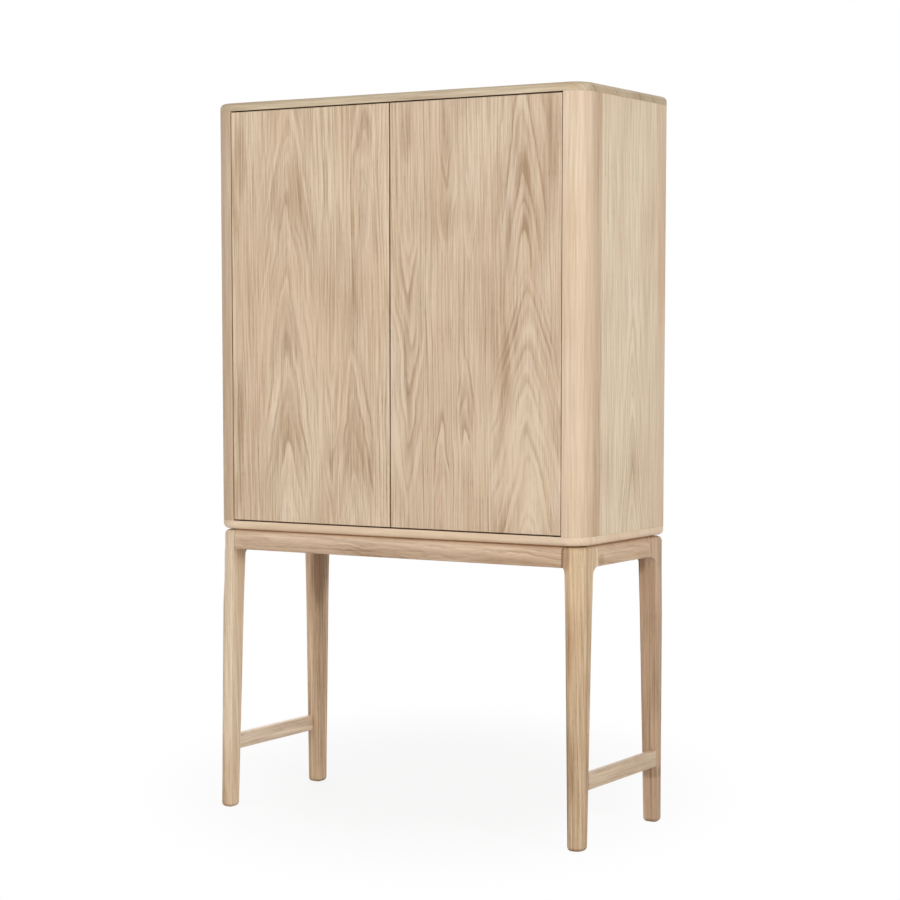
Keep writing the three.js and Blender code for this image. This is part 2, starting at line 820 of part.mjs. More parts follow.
function makeBracket(sign) {
  const face = bracketFace(sign);
  const bottom = restBarZ - restBarRadius - bracketBelowBar;
  const radii = [seamArris, bracketCornerRadius, bracketCornerRadius, seamArris];
  const outline = cornerOutline(
    doorInnerFace, doorInnerFace + bracketDepth,
    bottom, flapPivotHeight + bracketAbovePivot,
    radii, [1, edgeSteps, edgeSteps, 1],
  );
  const far = face + sign * bracketThickness;
  const xs = [face, far].sort((a, b) => a - b);
  const bracket = orient(prism(outline, xs[0], xs[1]), [0, 1, 0], [0, 0, 1], [1, 0, 0]);
  const depth = sign * (flapPinInBracket + pinClearance);
  const hole = [face - sign * overrun, face + depth].sort((a, b) => a - b);
  const radius = flapPinDiameter / 2 + pinClearance;
  return cut(bracket, [crossRod(radius, hole[0], hole[1], flapPivotY, flapPivotHeight)]);
}

function addFoldOutShelf() {
  addPiece('fold_shelf_board', makeFlap(), doorOak);
  sides.forEach(([side, sign]) => {
    addPiece(`fold_shelf_bracket_${side}`, makeBracket(sign), innerOak);
    const face = bracketFace(sign);
    const boardEnd = flapCentre + sign * (flapWidth / 2);
    const xs = [boardEnd - sign * flapPinInBoard, face + sign * flapPinInBracket].sort((a, b) => a - b);
    const pin = crossRod(flapPinDiameter / 2, xs[0], xs[1], flapPivotY, flapPivotHeight);
    addPiece(`fold_shelf_pin_${side}`, pin, steel);
  });
  const bar = crossRod(restBarRadius, bracketFace(-1), bracketFace(1), restBarY, restBarZ);
  addPiece('fold_shelf_rest_bar', bar, steel);
  const gap = flapPivotStandoff - flapThickness / 2;
  const disc = rod(magnetDiameter / 2, 0, 0, 0, gap - faceClearance);
  orient(disc, [1, 0, 0], [0, 0, -1], [0, 1, 0]);
  addPiece('fold_shelf_magnet', disc.translate(flapCentre, doorInnerFace, flapTop - magnetBelowTip), steel);
}

addLegFrame();
addShadowStrips();
addBolts();
addCarcass();
addInterior();
addDoors();
addLatches();
addFoldOutShelf();

export default group;
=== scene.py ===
"""Oak bar cabinet on a leg frame: its finished pieces, their wood and metal, and a pale studio."""

import logging
import math
from collections.abc import Sequence
from dataclasses import dataclass
from enum import Enum

import bpy
import numpy as np
from mathutils import Matrix, Vector


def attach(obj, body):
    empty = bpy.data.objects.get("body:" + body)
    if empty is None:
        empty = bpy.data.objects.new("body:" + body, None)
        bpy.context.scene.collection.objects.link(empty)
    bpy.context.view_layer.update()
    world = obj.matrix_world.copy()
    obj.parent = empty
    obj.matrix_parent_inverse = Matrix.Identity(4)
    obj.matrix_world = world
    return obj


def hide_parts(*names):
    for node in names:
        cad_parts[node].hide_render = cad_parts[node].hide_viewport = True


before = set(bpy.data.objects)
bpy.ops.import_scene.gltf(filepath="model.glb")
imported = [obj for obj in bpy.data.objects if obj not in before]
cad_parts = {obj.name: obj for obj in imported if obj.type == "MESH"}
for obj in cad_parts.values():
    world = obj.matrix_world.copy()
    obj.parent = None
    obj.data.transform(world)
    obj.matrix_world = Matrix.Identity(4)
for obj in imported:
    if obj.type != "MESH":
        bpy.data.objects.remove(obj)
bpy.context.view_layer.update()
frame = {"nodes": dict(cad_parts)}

log = logging.getLogger("bar_cabinet")

Socket = bpy.types.NodeSocket
Material = bpy.types.Material
Skin = tuple[np.ndarray, list[list[int]]]
Pair = tuple[float, float]
Triple = tuple[float, float, float]

METRES = 0.001
MILLIMETRES = 1000.0
IMAGE_SIZE = 900
SMOOTH_ANGLE = math.radians(32)
# Points that are the same to this many digits of a metre are joined.
JOIN_DIGITS = 6
WHITE = (1.0, 1.0, 1.0, 1.0)
SIDES = (("left", -1), ("right", 1))
ENDS = (("front", -1), ("back", 1))
# The corners of an outline, counter-clockwise from the low one.
CORNERS = ((-1, -1), (1, -1), (1, 1), (-1, 1))


# ---------------------------------------------------------------- nodes


def linear(hex_colour: str) -> tuple[float, float, float, float]:
    """Turns an sRGB hex colour into a linear one.

    Args:
        hex_colour: six hex digits after a '#'.

    Returns:
        Red, green, blue and alpha, linear.
    """
    channels = [int(hex_colour[i : i + 2], 16) / 255 for i in (1, 3, 5)]
    bright = [c / 12.92 if c <= 0.04045 else ((c + 0.055) / 1.055) ** 2.4 for c in channels]
    return (*bright, 1.0)


@dataclass
class Nodes:
    """A node tree that is being filled."""

    tree: bpy.types.NodeTree

    @classmethod
    def of(cls, owner: Material | bpy.types.World) -> "Nodes":
        """Empties the node tree of a material or world.

        Args:
            owner: the material or world.

        Returns:
            Its nodes.
        """
        owner.use_nodes = True
        owner.node_tree.nodes.clear()
        return cls(owner.node_tree)

    def add(
        self,
        kind: str,
        inputs: dict[int | str, object] | Sequence[object] = (),
        output: int | str = 0,
        **settings: object,
    ) -> Socket | None:
        """Adds one node, sets it up and links it.

        Args:
            kind: the node's type, as Blender writes it after "ShaderNode".
            inputs: sockets to link from or values, by input or in the inputs' order.
            output: the output that is wanted.
            settings: values of the node's own properties.

        Returns:
            The wanted output; its node is at .node.
        """
        node = self.tree.nodes.new(f"ShaderNode{kind}")
        for name, value in settings.items():
            setattr(node, name, value)
        for name, value in inputs.items() if isinstance(inputs, dict) else enumerate(inputs):
            if isinstance(value, Socket):
                self.tree.links.new(value, node.inputs[name])
            else:
                node.inputs[name].default_value = value
        return node.outputs[output] if len(node.outputs) else None

    def layers(self, start: Socket | float, *terms: tuple[Socket, float]) -> Socket:
        """Adds up patterns: the start plus each pattern times its share.

        Args:
            start: what the first pattern is added to.
            terms: each pattern and its share.

        Returns:
            The sum.
        """
        for pattern, share in terms:
            start = self.add("Math", (pattern, share, start), operation="MULTIPLY_ADD")
        return start

    def coat(
        self,
        share: Socket,
        colours: tuple[object, object],
        relief: Socket,
        roughness: Pair,
        bump: Pair,
        invert: bool = False,
        **constants: float,
    ) -> None:
        """Ends a material: two mixed colours, and roughness and bump that follow one relief.

        Args:
            share: how much of the second colour shows, 0 to 1.
            colours: the two colours, as sockets or linear values.
            relief: the pattern that the surface follows, 0 to 1.
            roughness: the roughness where the relief is 0 and where it is 1.
            bump: the bump's strength, and its height in metres.
            invert: True where the relief goes into the surface.
            constants: more of the shader's values, by name.
        """
        mixed = {"Factor": share, "A": colours[0], "B": colours[1]}
        heights = {"Height": relief, "Strength": bump[0], "Distance": bump[1]}
        rough = {"Value": relief, "To Min": roughness[0], "To Max": roughness[1]}
        surface = {
            "Base Color": self.add("Mix", mixed, "Result", data_type="RGBA"),
            "Roughness": self.add("MapRange", rough),
            "Normal": self.add("Bump", heights, "Normal", invert=invert),
            **constants,
        }
        self.add("OutputMaterial", {"Surface": self.add("BsdfPrincipled", surface)})


# ---------------------------------------------------------------- finishes


@dataclass(frozen=True)
class Finish:
    """A finish: its material's name, and how the names of the nodes or slots that wear it begin."""

    name: str
    worn_by: tuple[str, ...]

    def build(self) -> Material:
        """Makes the material.

        Returns:
            The material.
        """
        material = bpy.data.materials.new(self.name)
        self.paint(Nodes.of(material))
        return material

    def paint(self, nodes: Nodes) -> None:
        """Fills the material's nodes; each kind of finish has its own way."""
        raise NotImplementedError(self.name)


class Run(Enum):
    """Which way a board's grain runs: (across the face, along the grain, into the wood)."""

    UPRIGHT_FRONT = ((1.0, 0.0, 0.0), (0.0, 0.0, 1.0), (0.0, 1.0, 0.0))
    UPRIGHT_SIDE = ((0.0, 1.0, 0.0), (0.0, 0.0, 1.0), (1.0, 0.0, 0.0))
    UPRIGHT_SOLID = ((0.8, 0.6, 0.0), (0.0, 0.0, 1.0), (-0.6, 0.8, 0.0))
    LEVEL_WIDE = ((0.0, 0.8, 0.6), (1.0, 0.0, 0.0), (0.0, -0.6, 0.8))
    LEVEL_DEEP = ((0.8, 0.0, 0.6), (0.0, 1.0, 0.0), (-0.6, 0.0, 0.8))


@dataclass(frozen=True)
class Oval:
    """A long oval place in the wood, in mm: its middle, its half width and its half length."""

    across: float
    along: float
    half_width: float
    half_length: float


@dataclass(frozen=True)
class Streak(Oval):
    """A long soft darker mark, and how strong it is."""

    strength: float


@dataclass(frozen=True)
class Arch(Oval):
    """A group of nested arches and its lines, in mm.

    Its ring depth is gain times the root of (place across squared plus tip squared), plus or minus
    rise times the place along: the flank lines stand ring width / gain apart, and the tips ring
    width / rise apart.
    """

    points_up: bool = True
    gain: float = 1.2
    rise: float = 0.13
    tip: float = 5.0


@dataclass(frozen=True)
class Oak(Finish):
    """White oak under a matt clear lacquer, sliced so that its rings show as lines and arches."""

    run: Run
    pale: str = "#D9C4A8"
    warm: str = "#D3B99B"
    grain: str = "#A88A68"
    arches: tuple[Arch, ...] = ()
    streaks: tuple[Streak, ...] = ()
    gain: float = 1.4
    rise: float = 0.02
    ring_width: float = 12.0
    wander: float = 5.0
    sway: float = 5.0
    ripple: float = 1.2
    ripple_length: float = 110.0
    ring_strength: float = 0.35
    fibre_strength: float = 0.16
    pore_strength: float = 0.12
    tone_strength: float = 0.6
    end_darkness: float = 0.0
    edge_darkness: float = 0.0
    roughness: float = 0.52
    seed: float = 0.0

    def paint(self, nodes: Nodes) -> None:
        """Draws the wood's figure."""
        Figure(nodes.tree, self).draw()


class Figure(Nodes):
    """The figure of one oak board; places are in mm across the grain, along it and into the wood.

    The rings are the level lines of a depth field: the place across the board times a gain, plus a
    small rise along it, plus slow noise. Inside each arch group the arch's own field takes over.
    """

    # Slow patterns: the size of a patch across and along the grain in mm, and a shift of its own.
    SLOW_WAVES = (110.0, 420.0, 3.0)
    QUICK_WAVES_ACROSS, QUICK_WAVES_SHIFT = 26.0, 11.0
    WANDER_ACROSS, WANDER_ALONG, WANDER_SHIFT = 900.0, 190.0, 71.0
    FADING = (70.0, 240.0, 23.0)
    TONES = (90.0, 330.0, 37.0)
    BANDS = (60.0, 420.0, 51.0)
    # Width and length of a line in mm, and its octaves of finer lines. Real fibre bundles are near
    # 0.3 mm wide and pores 0.2 to 0.4 mm; both are drawn as coarse as they need to show.
    FIBRE = (3.2, 130.0, 1.0)
    BROAD = (9.0, 260.0, 2.0)
    PORE = (1.8, 20.0, 0.0)
    # Early wood starts sharply and fades: darkness against the place in the ring.
    EARLY_WOOD = ((0.0, 0.0), (0.14, 1.0), (0.3, 0.72), (0.62, 0.16), (1.0, 0.0))
    SPREAD_LENGTH, SPREAD = 45.0, 2.2
    ARCH_RIM = 0.45
    WAVE_GAIN = 4
    BASE_TONE, TONE_SPAN = 0.2, 0.16
    RING_RELIEF = 0.4
    RELIEF_BUMP = (0.25, 0.0004)
    RELIEF_ROUGHNESS = 0.14
    LACQUER_IOR = 1.5

    def __init__(self, tree: bpy.types.NodeTree, oak: Oak) -> None:
        """Turns object coordinates into places in the board.

        Args:
            tree: the material's tree.
            oak: the board's colours and strengths.
        """
        super().__init__(tree)
        self.oak = oak
        at = self.add("TexCoord", output="Object")
        self.across, self.along, into = (
            self.add(
                "VectorMath",
                (at, tuple(value * MILLIMETRES for value in axis)),
                "Value",
                operation="DOT_PRODUCT",
            )
            for axis in oak.run.value
        )
        self.place = self.add("CombineXYZ", (self.across, self.along, into))

    def draw(self) -> None:
        """Rings, arches over them, fading, fibres, pores and marks; then colour and surface."""
        oak = self.oak
        slow = self.patches(*self.SLOW_WAVES)
        quick = self.patches(self.QUICK_WAVES_ACROSS, oak.ripple_length, self.QUICK_WAVES_SHIFT)
        gains = (self.WAVE_GAIN * oak.sway, self.WAVE_GAIN * oak.ripple)
        warp = self.layers(0.0, (slow, gains[0]), (quick, gains[1]))
        depth = self.layers(warp, (self.across, oak.gain), (self.along, oak.rise))
        rings, broad = self.ring_lines(depth)
        for arch in oak.arches:
            arch_lines = self.ring_lines(self.arch_depth(arch, warp))
            inside = self.add("MapRange", {"Value": self.oval(arch), "From Max": self.ARCH_RIM})
            rings, broad = (
                self.add("Mix", {"Factor": inside, 2: below, 3: above}, data_type="FLOAT")
                for below, above in zip((rings, broad), arch_lines)
            )
        fading = {"Value": self.patches(*self.FADING), "From Min": 0.32, "From Max": 0.66}
        fading = self.add("MapRange", {**fading, "To Min": 0.3, "To Max": 1.0})
        rings = self.add("Math", (rings, fading), operation="MULTIPLY")
        pores = self.pores(rings)
        amount = self.darkness(rings, broad, pores)
        bands = {"Value": self.patches(*self.BANDS), "From Min": 0.35, "From Max": 0.65}
        wood = {"Factor": self.add("MapRange", bands), "A": linear(oak.pale), "B": linear(oak.warm)}
        wood = self.add("Mix", wood, "Result", data_type="RGBA")
        self.coat(
            amount,
            (wood, linear(oak.grain)),
            self.layers(pores, (rings, self.RING_RELIEF)),
            (oak.roughness, oak.roughness + self.RELIEF_ROUGHNESS),
            self.RELIEF_BUMP,
            invert=True,
            IOR=self.LACQUER_IOR,
        )

    def patches(self, wide: float, long: float, shift: float) -> Socket:
        """Slow variation through the wood, about 0.5 on average.

        Args:
            wide: size of one patch across the grain, in mm.
            long: size of one patch along the grain, in mm.
            shift: moves the pattern, so that two uses differ.

        Returns:
            The noise value.
        """
        seed = self.oak.seed
        steps = (1 / wide, 1 / long, 1 / wide)
        moves = (shift + seed, shift * 0.7, seed)
        moved = self.add("VectorMath", (self.place, steps, moves), operation="MULTIPLY_ADD")
        inputs = {"Vector": moved, "Scale": 1.0, "Detail": 1.5}
        return self.add("TexNoise", inputs, noise_dimensions="3D")

    def arch_depth(self, arch: Arch, warp: Socket) -> Socket:
        """Ring field of one arch group; its middle line wanders a little.

        Args:
            arch: the arch group.
            warp: waviness, in mm.

        Returns:
            The depth, in mm.
        """
        wander = self.oak.wander
        shift = self.WANDER_SHIFT + arch.across
        winding = self.patches(self.WANDER_ACROSS, self.WANDER_ALONG, shift)
        off = self.layers(self.across, (winding, self.WAVE_GAIN * wander))
        off = self.add("Math", (off, arch.across + 2 * wander), operation="SUBTRACT")
        square = self.add("Math", (off, off, arch.tip**2), operation="MULTIPLY_ADD")
        root = self.add("Math", (square,), operation="SQRT")
        rise = arch.rise if arch.points_up else -arch.rise
        return self.layers(warp, (root, arch.gain), (self.along, rise))

    def ring_lines(self, depth: Socket) -> tuple[Socket, Socket]:
        """Rings and broad lines of one ring field; each ring has its own strength.

        Args:
            depth: the ring field, in mm.

        Returns:
            Ring darkness, 0 to 1, and the broad lines, -1 to 1.
        """
        slow_at = self.add("Math", (depth, 1 / self.SPREAD_LENGTH), operation="MULTIPLY")
        slow = self.add("TexNoise", {"W": slow_at, "Scale": 1.0}, noise_dimensions="1D")
        count = self.add("Math", (depth, 1 / self.oak.ring_width), operation="MULTIPLY")
        count = self.layers(count, (slow, self.SPREAD))
        part = self.add("Math", (count,), operation="FRACT")
        number = self.add("Math", (count,), operation="FLOOR")
        own = self.add("TexWhiteNoise", {"W": number}, noise_dimensions="1D")
        line = self.add("FloatCurve", {"Value": part})
        self.bend(line.node.mapping)
        strength = self.add("MapRange", {"Value": own, "To Min": 0.25, "To Max": 1.0})
        rings = self.add("Math", (line, strength), operation="MULTIPLY")
        return rings, self.lines(depth, self.BROAD)

    def bend(self, mapping: bpy.types.CurveMapping) -> None:
        """Lays the points of the early wood's curve.

        Args:
            mapping: the curve node's mapping.
        """
        curve = mapping.curves[0]
        first, *middle, last = self.EARLY_WOOD
        curve.points[0].location, curve.points[1].location = first, last
        for place, value in middle:
            curve.points.new(place, value)
        for point in curve.points:
            point.handle_type = "AUTO_CLAMPED"
        mapping.update()

    def strips(self, across: Socket, sizes: Triple) -> Socket:
        """Noise drawn out along the grain.

        Args:
            across: what is followed across the strips: the place itself or a ring field, in mm.
            sizes: width and length of a strip in mm, and its octaves.

        Returns:
            The noise value.
        """
        width, length, octaves = sizes
        parts = [
            self.add("Math", (value, 1 / size), operation="MULTIPLY")
            for value, size in ((across, width), (self.along, length))
        ]
        place = self.add("CombineXYZ", parts)
        inputs = {"Vector": place, "Scale": 1.0, "Detail": octaves, "Roughness": 0.55}
        return self.add("TexNoise", inputs, noise_dimensions="2D")

    def lines(self, across: Socket, sizes: Triple) -> Socket:
        """Long lines.

        Args:
            across: what is followed across the lines, in mm.
            sizes: width and length of a line in mm, and its octaves.

        Returns:
            The line pattern, -1 to 1.
        """
        span = {"From Min": 0.3, "From Max": 0.7, "To Min": -1.0, "To Max": 1.0}
        return self.add("MapRange", {"Value": self.strips(across, sizes), **span}, clamp=False)

    def pores(self, rings: Socket) -> Socket:
        """Open pores: short dark dashes, most of them in the early wood.

        Args:
            rings: ring darkness.

        Returns:
            Pore depth, 0 to 1.
        """
        noise = {"Value": self.strips(self.across, self.PORE), "From Min": 0.56, "From Max": 0.74}
        dashes = self.add("MapRange", noise, interpolation_type="SMOOTHSTEP")
        share = self.add("MapRange", {"Value": rings, "To Min": 0.35, "To Max": 1.0})
        return self.add("Math", (dashes, share), operation="MULTIPLY")

    def darkness(self, rings: Socket, broad: Socket, pores: Socket) -> Socket:
        """Adds up all that darkens the wood.

        Args:
            rings: ring darkness.
            broad: broad lines.
            pores: pore depth.

        Returns:
            How far the colour goes from pale wood to grain colour, 0 to 1.
        """
        oak = self.oak
        swing = self.TONE_SPAN * oak.tone_strength
        span = {"From Min": 0.3, "From Max": 0.7}
        span |= {"To Min": self.BASE_TONE - swing, "To Max": self.BASE_TONE + swing}
        tone = self.add("MapRange", {"Value": self.patches(*self.TONES), **span}, clamp=False)
        across, along, _ = oak.run.value
        total = self.layers(
            tone,
            (rings, oak.ring_strength),
            (self.lines(self.across, self.FIBRE), oak.fibre_strength * 0.5),
            (broad, oak.fibre_strength * 0.6),
            (pores, oak.pore_strength),
            *((self.oval(streak), streak.strength) for streak in oak.streaks),
            *(
                (self.faces_along(axis), share)
                for axis, share in ((along, oak.end_darkness), (across, oak.edge_darkness))
                if share
            ),
        )
        return self.add("Clamp", {"Value": total})

    def faces_along(self, axis: Triple) -> Socket:
        """Faces that look along an axis: cut ends and edges drink more oil and stay darker; on the
        door edges this darkening is also painted shade for the thin gaps round the doors.

        Args:
            axis: the axis.

        Returns:
            1 on those faces, 0 elsewhere.
        """
        normal = self.add("TexCoord", output="Normal")
        facing = self.add("VectorMath", (normal, axis), "Value", operation="DOT_PRODUCT")
        size = self.add("Math", (facing,), operation="ABSOLUTE")
        span = {"Value": size, "From Min": 0.8, "From Max": 0.98}
        return self.add("MapRange", span, interpolation_type="SMOOTHSTEP")

    def oval(self, mark: Oval) -> Socket:
        """A soft oval: one minus the squared distance from its middle, in half widths and lengths.

        Args:
            mark: the oval.

        Returns:
            1 in its middle, falling to 0 at its edge.
        """
        squares = []
        for value, middle, half in (
            (self.across, mark.across, mark.half_width),
            (self.along, mark.along, mark.half_length),
        ):
            off = self.add("Math", (value, 1 / half, -middle / half), operation="MULTIPLY_ADD")
            squares.append(self.add("Math", (off, off), operation="MULTIPLY"))
        far = self.add("Math", squares, operation="ADD")
        span = {"Value": far, "From Min": 1.0, "From Max": 0.0}
        return self.add("MapRange", span, interpolation_type="SMOOTHSTEP")


@dataclass(frozen=True)
class TurnedMetal(Finish):
    """Metal turned or drawn in the works: fine tool lines and a little handling dullness."""

    bright: str
    dull: str
    roughness: float
    line_pitch: float = 0.5
    line_spread: float = 60.0
    smudges: float = 90.0

    def paint(self, nodes: Nodes) -> None:
        """Tool lines for the surface, smudges for the colour.

        Args:
            nodes: the material's nodes.
        """
        at = nodes.add("TexCoord", output="Object")
        steps = (self.line_spread, self.line_spread, MILLIMETRES / self.line_pitch)
        lines_at = nodes.add("VectorMath", (at, steps), operation="MULTIPLY")
        lines = nodes.add("TexNoise", {"Vector": lines_at, "Scale": 1.0, "Detail": 2.0})
        smudges = nodes.add("TexNoise", {"Vector": at, "Scale": self.smudges, "Detail": 3.0})
        rough = (self.roughness - 0.08, self.roughness + 0.12)
        colours = (linear(self.bright), linear(self.dull))
        nodes.coat(smudges, colours, lines, rough, (0.1, 0.0001), Metallic=1.0)


@dataclass(frozen=True)
class GrainedSkin(Finish):
    """A dull dark skin with a fine even grain, as moulded polymer or a sealed strip has."""

    base: str
    worn: str
    roughness: float
    grain_size: float
    relief: float
    ior: float

    def paint(self, nodes: Nodes) -> None:
        """Fine grain for the surface, worn patches for the colour.

        Args:
            nodes: the material's nodes.
        """
        at = nodes.add("TexCoord", output="Object")
        scale = MILLIMETRES / self.grain_size
        grain = nodes.add("TexNoise", {"Vector": at, "Scale": scale, "Detail": 2.0})
        wear = nodes.add("TexNoise", {"Vector": at, "Scale": 25.0, "Detail": 4.0})
        worn = nodes.add("MapRange", {"Value": wear, "From Min": 0.4, "From Max": 0.8})
        rough = (self.roughness - 0.07, self.roughness + 0.1)
        colours = (linear(self.base), linear(self.worn))
        nodes.coat(worn, colours, grain, rough, (0.3, self.relief * METRES), IOR=self.ior)


# What the doors' veneers share: crown-cut oak, matt lacquer, soft brown arches on a sandy ground.
VENEER = dict(
    run=Run.UPRIGHT_FRONT, ring_width=11.0, wander=9.0, sway=7.0, pore_strength=0.24,
    # The darker door edges are partly end grain and partly painted shade, standing in for the shade
    # in the thin gaps round the doors.
    end_darkness=0.65, edge_darkness=0.5,
)
# Solid oak planed and rounded for posts: almost plain, with faint straight lines.
PLANED = dict(
    run=Run.UPRIGHT_SOLID, ring_width=16.0, ring_strength=0.24, fibre_strength=0.24,
    pore_strength=0.1,
)
# Solid oak legs: upright grain with long brown lines; each leg is its own stick of wood.
STICK = dict(
    run=Run.UPRIGHT_SOLID, rise=0.035, ring_width=11.0, ring_strength=0.36, fibre_strength=0.3,
    pore_strength=0.2, tone_strength=1.0,
)
# Solid oak stretchers: the palest sticks of the frame, slightly pink, grain from front to back.
STRETCHER = dict(
    run=Run.LEVEL_DEEP, grain="#A5866A", ring_width=10.0, ring_strength=0.36,
    fibre_strength=0.28, pore_strength=0.18,
)

